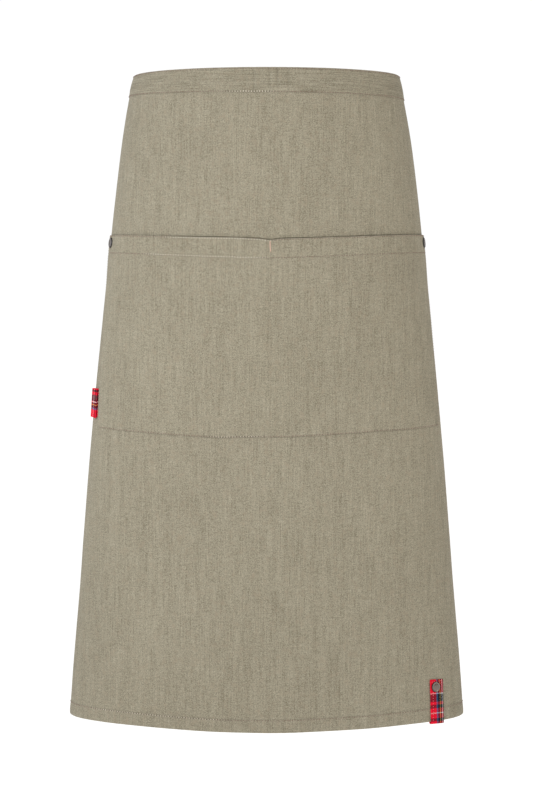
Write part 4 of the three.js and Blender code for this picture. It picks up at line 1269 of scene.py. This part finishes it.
class APRON_OT_ties(bpy.types.Operator):
    """Makes the ties, their knot and the two hanging tails"""

    bl_idname = "apron.ties"
    bl_label = "Ties"

    def execute(self, context):
        sizes, colours, cloth = workbench(context)
        finish = canvas("tie_canvas", colours, sizes.stitch_pitch)
        knot_low, knot_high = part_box("tie_knot")
        knot_at = (np.array(knot_low) + np.array(knot_high)) / 2
        knot_half = (np.array(knot_high) - np.array(knot_low)) / 2
        tails = [self.tail(side, sizes, cloth, finish, knot_at, knot_half) for side in (-1, 1)]
        knot = self.knot(knot_at, knot_half)
        finish_piece(knot, finish, "cloth", "tie_knot")
        for side, name in ((-1, "tie_left"), (1, "tie_right")):
            piece = self.tie(side, name, cloth, knot_half)
            finish_piece(piece, finish, "cloth", name)
        return {"FINISHED"}

    def tie(self, side, name, cloth, knot_half):
        start = (cloth.right if side > 0 else -cloth.left) + 0.0003
        shares = places(with_soft_ends([0, 0.02]), 0.0012) / 0.02
        levels = np.linspace(-1, 1, 25)
        share, level = np.meshgrid(shares, levels)
        gathered = eased(share, 0, 1)
        drop = 0.014 + level * between(0.026, 0.0155, gathered) / 2
        half, front, back, down = cloth.oval(drop.ravel())
        whole = (cloth.arc(half, front).sum(axis=1) + cloth.arc(half, back).sum(axis=1)).reshape(drop.shape)
        end = whole - knot_half[0] + 0.0022
        along = between(start, end, share)
        pleat = 0.0011 * gathered * np.cos(level * math.pi * 3.5 + 0.6)
        soft = roundness(np.minimum((1 - np.abs(level)) * 0.013, 0.01), 0.0006)
        thick = 0.0007
        layers = [cloth.points(side * along, drop, pleat + sign * thick * soft) for sign in (1, -1)]
        weave = np.stack([side * along, drop], -1)
        if side < 0:
            layers = [layer[:, ::-1] for layer in layers]
            weave = weave[:, ::-1]
        return sheet_mesh(name + "_cloth", layers[0], layers[1], weave)

    def knot(self, at, half):
        turns = np.linspace(0, math.tau, 72, endpoint=False)
        tilts = np.linspace(-math.pi / 2, math.pi / 2, 49)[1:-1]
        turn, tilt = np.meshgrid(turns, tilts)
        shape = np.stack([np.cos(turn) * np.cos(tilt), np.sin(turn) * np.cos(tilt), np.sin(tilt)], -1)
        boxy = np.sign(shape) * np.abs(shape) ** 0.62
        wrap = boxy[..., 0] * 1.1 + boxy[..., 2] * 0.55
        crease = np.exp(-(((wrap - 0.5) / 0.07) ** 2)) + np.exp(-(((wrap + 0.46) / 0.07) ** 2))
        fine = 0.35 * np.abs(np.sin(boxy[..., 2] * 5.2 - boxy[..., 0] * 2.4)) ** 3
        waist = 0.1 * np.exp(-(((np.abs(boxy[..., 0]) - 0.98) / 0.25) ** 2))
        size = (0.97 - 0.12 * crease - 0.07 * fine - waist)[..., None]
        points = at + boxy * half * size
        count, wide = turn.shape
        index = np.arange(count * wide).reshape(count, wide)
        after = np.roll(index, -1, axis=1)
        faces = np.stack([index[:-1], after[:-1], after[1:], index[1:]], -1).reshape(-1, 4).tolist()
        bottom, top = count * wide, count * wide + 1
        faces += [[bottom, after[0][k], index[0][k]] for k in range(wide)]
        faces += [[top, index[-1][k], after[-1][k]] for k in range(wide)]
        ends = [at - [0, 0, half[2] * 0.94], at + [0, 0, half[2] * 0.94]]
        flat = np.stack([turn * half[0], tilt * half[2]], -1).reshape(-1, 2)
        points = np.concatenate([points.reshape(-1, 3), ends])
        return new_mesh("knot_cloth", points, faces, np.concatenate([flat, [[0, -half[2]], [0, half[2]]]]))

    def tail(self, side, sizes, cloth, finish, knot_at, knot_half):
        name = "tie_tail_left" if side < 0 else "tie_tail_right"
        length = sizes.tail_length
        runs = places(with_soft_ends([-0.004, length]), 0.0042)
        levels = np.concatenate([[-1, -0.985, -0.95], np.linspace(-0.88, 0.88, 13), [0.95, 0.985, 1]])
        share, run = np.meshgrid(levels, runs)
        down = np.clip(run / length, 0, 1)
        half = between(0.015, 0.022, eased(down, 0, 0.3)) / 2
        spread = side * (0.002 + 0.016 * eased(down, 0, 0.8))
        sway = side * 0.0015 * eased(down, 0, 0.4) + 0.003 * np.sin(down * math.pi)
        pleat = 0.0011 * (1 - eased(down, 0, 0.35)) * np.cos(share * math.pi * 2.5 + side)
        flutter = 0.0012 * np.sin(down * 9 + side) * share * eased(down, 0.15, 0.5)
        curl = 0.0006 * share * share * eased(down, 0.3, 0.9)
        middle = knot_at[1] + side * 0.0014 * 1.2 + sway + pleat + flutter - curl
        soft = roundness(
            np.minimum((1 - np.abs(share)) * half, np.minimum(run + 0.004, length - run)), 0.0006
        )
        top = knot_at[2] - knot_half[2] - 0.0003
        layers = [
            np.stack([spread + share * half, middle - sign * 0.00065 * soft, top - run], -1) for sign in (1, -1)
        ]
        weave = np.stack([share * half, run], -1)
        made = sheet_mesh(name + "_cloth", layers[0], layers[1], weave)
        return finish_piece(made, finish, "cloth", name)


class APRON_OT_stitching(bpy.types.Operator):
    """Sews the rows of stitches, the bar tack and the ribbons' edge stitches"""

    bl_idname = "apron.stitching"
    bl_label = "Stitching"

    def execute(self, context):
        sizes, colours, cloth = workbench(context)
        rng = np.random.default_rng(7)
        material = thread("sewing_thread", colours.thread_painted_lit, colours.thread_painted_shaded)
        # Painted light and shade on the thread: brown rows stand for thread in shade, and each front row is cream where
        # its thread stands lit, left of the middle, and brown beyond
        brown, cream = (-0.9, -0.8, 0), (-0.9, 0.9, 0.8)
        near, far = cloth.left + 0.0015, cloth.right - 0.0015
        band_back = lambda along, drop: -cloth.band_face(along, drop)
        skirt = lambda along, drop: cloth.face - 0.0001
        skirt_back = lambda along, drop: -cloth.face
        hem_back = lambda along, drop: -cloth.face - sizes.cloth_thickness
        seam = sizes.band_height - sizes.edge_inset
        rows = [
            ("across", seam, near, far, cloth.band_face, 1, (-0.044, 0.006, 0.7)),
            ("across", seam, near, far, band_back, -1, cream),
            ("across", 0.0018, near, far, cloth.band_face, 1, brown),
            ("across", 0.0018, near, far, band_back, -1, brown),
        ]
        sew_rows(cloth, "band_stitches", rows, material, sizes, rng)
        pocket = cloth.pocket_face
        p_near, p_far = cloth.pocket_left + 0.0013, cloth.pocket_right - 0.0013
        hem_end = sizes.pocket_drop + sizes.pocket_hem
        top, foot = sizes.pocket_drop + 0.004, cloth.pocket_end - 0.003
        low_row = cloth.pocket_end - sizes.edge_inset
        rows = [
            ("across", sizes.pocket_drop + sizes.edge_inset, p_near, p_far, pocket, 1, (-0.12, 0.004, 0.85)),
            ("across", hem_end - 0.0006, p_near, p_far, pocket, 1, (-0.145, -0.004, 0.9)),
            ("across", low_row, p_near, p_far, pocket, 1, (-0.07, -0.002, 0.32)),
            ("across", low_row, p_near, p_far, skirt_back, -1, cream),
            ("down", p_near, top, foot, skirt_back, -1, cream),
            ("down", p_far, top, foot, skirt_back, -1, cream),
            ("down", sizes.cloth_turn, hem_end, foot, skirt_back, -1, cream),
        ]
        # A few brown stitches at the side loop's top corner, whose brown is painted shade there
        rows += [("down", cloth.pocket_left + 0.0009, 0.3835, 0.3885, pocket, 1, brown)]
        sew_rows(cloth, "pocket_stitches", rows, material, sizes, rng, cloth.pocket_level)
        side = sizes.side_hem_width - 0.0013
        down = sizes.full_drop - 0.016
        hem_row = cloth.hem_start + sizes.edge_inset
        rows = [
            ("across", hem_row, near, far, skirt, 1, (-0.215, -0.05, 0.4)),
            ("across", hem_row, near, far, hem_back, -1, cream),
            ("down", cloth.left + side, 0.031, down, skirt, 1, brown),
            ("down", cloth.right - side, 0.031, down, skirt, 1, brown),
            ("down", cloth.left + side, 0.031, down, hem_back, -1, cream),
            ("down", cloth.right - side, 0.031, down, hem_back, -1, cream),
        ]
        sew_rows(cloth, "hem_stitches", rows, material, sizes, rng)
        tonal = thread("tonal_thread", colours.yarn_warm, colours.yarn_dark)
        rows = [
            ("down", sizes.cloth_turn, hem_end + 0.001, foot, pocket, 1, cream),
            ("down", p_near, top, foot, pocket, 1, cream),
            ("down", p_far, top, foot, pocket, 1, cream),
        ]
        sew_rows(cloth, "tonal_stitches", rows, tonal, sizes, rng, cloth.pocket_level)
        self.bar_tack(cloth, sizes, colours, rng)
        self.ribbon_stitches(cloth, sizes, colours, rng)
        self.tie_stitches(cloth, sizes, material, rng)
        return {"FINISHED"}

    def bar_tack(self, cloth, sizes, colours, rng):
        rose = thread("bar_tack_thread", colours.thread_rose, colours.thread_rose, gloss=0.45)
        run = np.arange(sizes.pocket_drop + 0.0018, sizes.pocket_drop + 0.0145, 0.00045)
        along = np.full(len(run), sizes.cloth_turn) + rng.normal(0, 0.00008, len(run))
        along += 0.0005 * (run - run[0]) / (run[-1] - run[0])
        level = cloth.pocket_level(along, run)
        at, right, outwards, up = cloth.frames(along, level, cloth.pocket_face(along, run) + 0.0001)
        slant = np.where(np.arange(len(run)) % 2, 0.2, -0.2)[:, None]
        tack = stitch_mesh("bar_tack", at, unit(right + up * slant), outwards, np.ones(len(run)), 0.0015, 0.00045)
        finish_piece(tack, rose, "cloth")

    def ribbon_stitches(self, cloth, sizes, colours, rng):
        left = sizes.cloth_turn + 0.207 - 0.0105
        top = sizes.full_drop - sizes.tab_length
        front = lambda along, drop: cloth.face + cloth.gap + 0.001
        back = lambda along, drop: -cloth.face - cloth.gap - 0.002
        cream, rose = (-0.9, 0.9, 0.28), (-0.9, 0.9, 0.2)
        rows = [
            ("down", left + 0.0039, top + 0.003, sizes.full_drop, front, 1, cream),
            ("across", top + 0.0016, left + 0.001, left + sizes.tab_width - 0.001, front, 1, rose),
            ("down", left + 0.0039, top + 0.003, sizes.full_drop, back, -1, cream),
        ]
        pink = thread("ribbon_thread", colours.thread_rose, colours.ribbon_red)
        sew_rows(cloth, "tab_stitches", rows, pink, sizes, rng)

    def tie_stitches(self, cloth, sizes, material, rng):
        tail_low = [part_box(name) for name in ("tie_tail_left", "tie_tail_right")]
        ats, ways, outs = [], [], []
        knot_low, knot_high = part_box("tie_knot")
        top = knot_low[2] - 0.0003
        middle_y = (knot_low[1] + knot_high[1]) / 2
        length = sizes.tail_length
        for sign, box in zip((-1, 1), tail_low):
            for edge in (-1, 1):
                run = row_places(0.1, length - 0.003, sizes.stitch_pitch)
                down = run / length
                share = edge * (1 - 0.0016 / 0.011)
                half = between(0.015, 0.022, eased(down, 0, 0.3)) / 2
                spread = sign * (0.002 + 0.016 * eased(down, 0, 0.8))
                sway = sign * 0.0015 * eased(down, 0, 0.4) + 0.003 * np.sin(down * math.pi)
                flutter = 0.0012 * np.sin(down * 9 + sign) * share * eased(down, 0.15, 0.5)
                curl = 0.0006 * share * share * eased(down, 0.3, 0.9)
                middle = middle_y + sign * 0.0014 * 1.2 + sway + flutter - curl
                for face in (1, -1):
                    ats.append(np.stack([spread + share * half, middle + face * 0.00068, top - run], -1))
                    ways.append(np.tile([0.0, 0.0, 1.0], (len(run), 1)))
                    outs.append(np.tile([0.0, float(face), 0.0], (len(run), 1)))
        at, way, out = (np.concatenate(parts) for parts in (ats, ways, outs))
        tone = np.clip(0.55 + rng.uniform(-0.2, 0.2, len(at)), 0, 1)
        made = stitch_mesh("tie_stitches", at, way, out, tone, sizes.stitch_pitch * 0.62, sizes.stitch_width)
        finish_piece(made, material, "cloth")


class APRON_OT_stage(bpy.types.Operator):
    """Sets the pale floor, the even room light, the key light and the camera"""

    bl_idname = "apron.stage"
    bl_label = "Stage"

    def execute(self, context):
        stage = context.scene.bistro_apron.stage
        scene = context.scene
        scene.view_settings.view_transform = "Standard"
        scene.view_settings.look = "None"
        camera_data = bpy.data.cameras.new("camera")
        camera_data.lens = stage.lens
        camera_data.sensor_width = 36
        camera_data.clip_end = 200
        camera = bpy.data.objects.new("camera", camera_data)
        camera.location = stage.camera_place
        camera.rotation_euler = (math.radians(90) - stage.camera_tilt, 0, 0)
        scene.collection.objects.link(camera)
        scene.camera = camera
        world = bpy.data.worlds.new("room")
        world.use_nodes = True
        scene.world = world
        bench = NodeBench(world.node_tree)
        world.node_tree.nodes.clear()
        seen = bench.add("LightPath").outputs["Is Camera Ray"]
        strength = bench.math("MULTIPLY_ADD", seen, 1.02 - stage.sky_light, stage.sky_light)
        tint = bench.blend(seen, (1, 0.98, 0.945), (1, 1, 1))
        light = bench.add("Background", {"Color": tint, "Strength": strength}).outputs[0]
        bench.add("OutputWorld", {"Surface": light})
        size = 60
        floor = new_mesh(
            "floor",
            [(x * size, y * size, stage.floor_level) for x, y in ((-1, -1), (1, -1), (1, 1), (-1, 1))],
            [(0, 1, 2, 3)],
        )
        pale, bench, shader = new_material("pale_floor")
        place = bench.add("TexCoord").outputs["Object"]
        mist = bench.add("TexNoise", {"Vector": place, "Scale": 1.3, "Detail": 1.0}).outputs[0]
        tint = bench.blend(mist, (0.93, 0.93, 0.925), (0.97, 0.97, 0.97))
        bench.tree.links.new(tint, shader.inputs["Base Color"])
        shader.inputs["Roughness"].default_value = 0.9
        shader.inputs["Specular IOR Level"].default_value = 0.1
        shader.inputs["Emission Color"].default_value = (0.97, 0.985, 1, 1)
        shader.inputs["Emission Strength"].default_value = 0.52
        floor.data.materials.append(pale)
        self.soft_light("key", stage.key_power, (-1.9, -2.3, 0.75), (-0.1, 0, -0.2), (0.97, 1, 1.05))
        self.soft_light("fill", stage.fill_power, (2.5, -1.7, 0.7), (0.04, 0, -0.22), (1.02, 0.94, 0.82))
        self.soft_light("back", stage.back_power, (0, 2.9, 0.7), (0, 0.1, -0.35), (1, 1, 1))
        return {"FINISHED"}

    def soft_light(self, name, power, place, aim, tint):
        data = bpy.data.lights.new(name, "AREA")
        data.shape = "RECTANGLE"
        data.size = 1.2
        data.size_y = 1.2
        data.spread = math.radians(42)
        data.energy = power
        data.color = tint
        light = bpy.data.objects.new(name, data)
        light.location = place
        x, y, z = (there - here for here, there in zip(place, aim))
        light.rotation_euler = (math.atan2(math.hypot(x, y), -z), 0, math.atan2(-x, y))
        bpy.context.scene.collection.objects.link(light)


STEPS = (
    APRON_OT_stage,
    APRON_OT_skirt,
    APRON_OT_waistband,
    APRON_OT_pocket,
    APRON_OT_rivets,
    APRON_OT_side_loop,
    APRON_OT_hem_tab,
    APRON_OT_ties,
    APRON_OT_stitching,
)


class APRON_PT_sidebar(bpy.types.Panel):
    """Lists the apron's steps and settings"""

    bl_idname = "APRON_PT_sidebar"
    bl_label = "Bistro apron"
    bl_space_type = "VIEW_3D"
    bl_region_type = "UI"
    bl_category = "Apron"

    def draw(self, context):
        for step in STEPS:
            self.layout.operator(step.bl_idname)
        settings = context.scene.bistro_apron
        for group in (settings.sizes, settings.colours, settings.stage):
            box = self.layout.box()
            for name in group.bl_rna.properties.keys():
                if name not in {"rna_type", "name"}:
                    box.prop(group, name)


CLASSES = (ApronSizes, ApronColours, ApronStage, ApronSettings, *STEPS, APRON_PT_sidebar)


def register():
    for each in CLASSES:
        bpy.utils.register_class(each)
    bpy.types.Scene.bistro_apron = bpy.props.PointerProperty(
        type=ApronSettings, name="Bistro apron", description="The apron's settings"
    )


def unregister():
    del bpy.types.Scene.bistro_apron
    for each in reversed(CLASSES):
        bpy.utils.unregister_class(each)


def main():
    register()
    for step in STEPS:
        place, name = step.bl_idname.split(".")
        getattr(getattr(bpy.ops, place), name)()


if __name__ == "__main__":
    main()
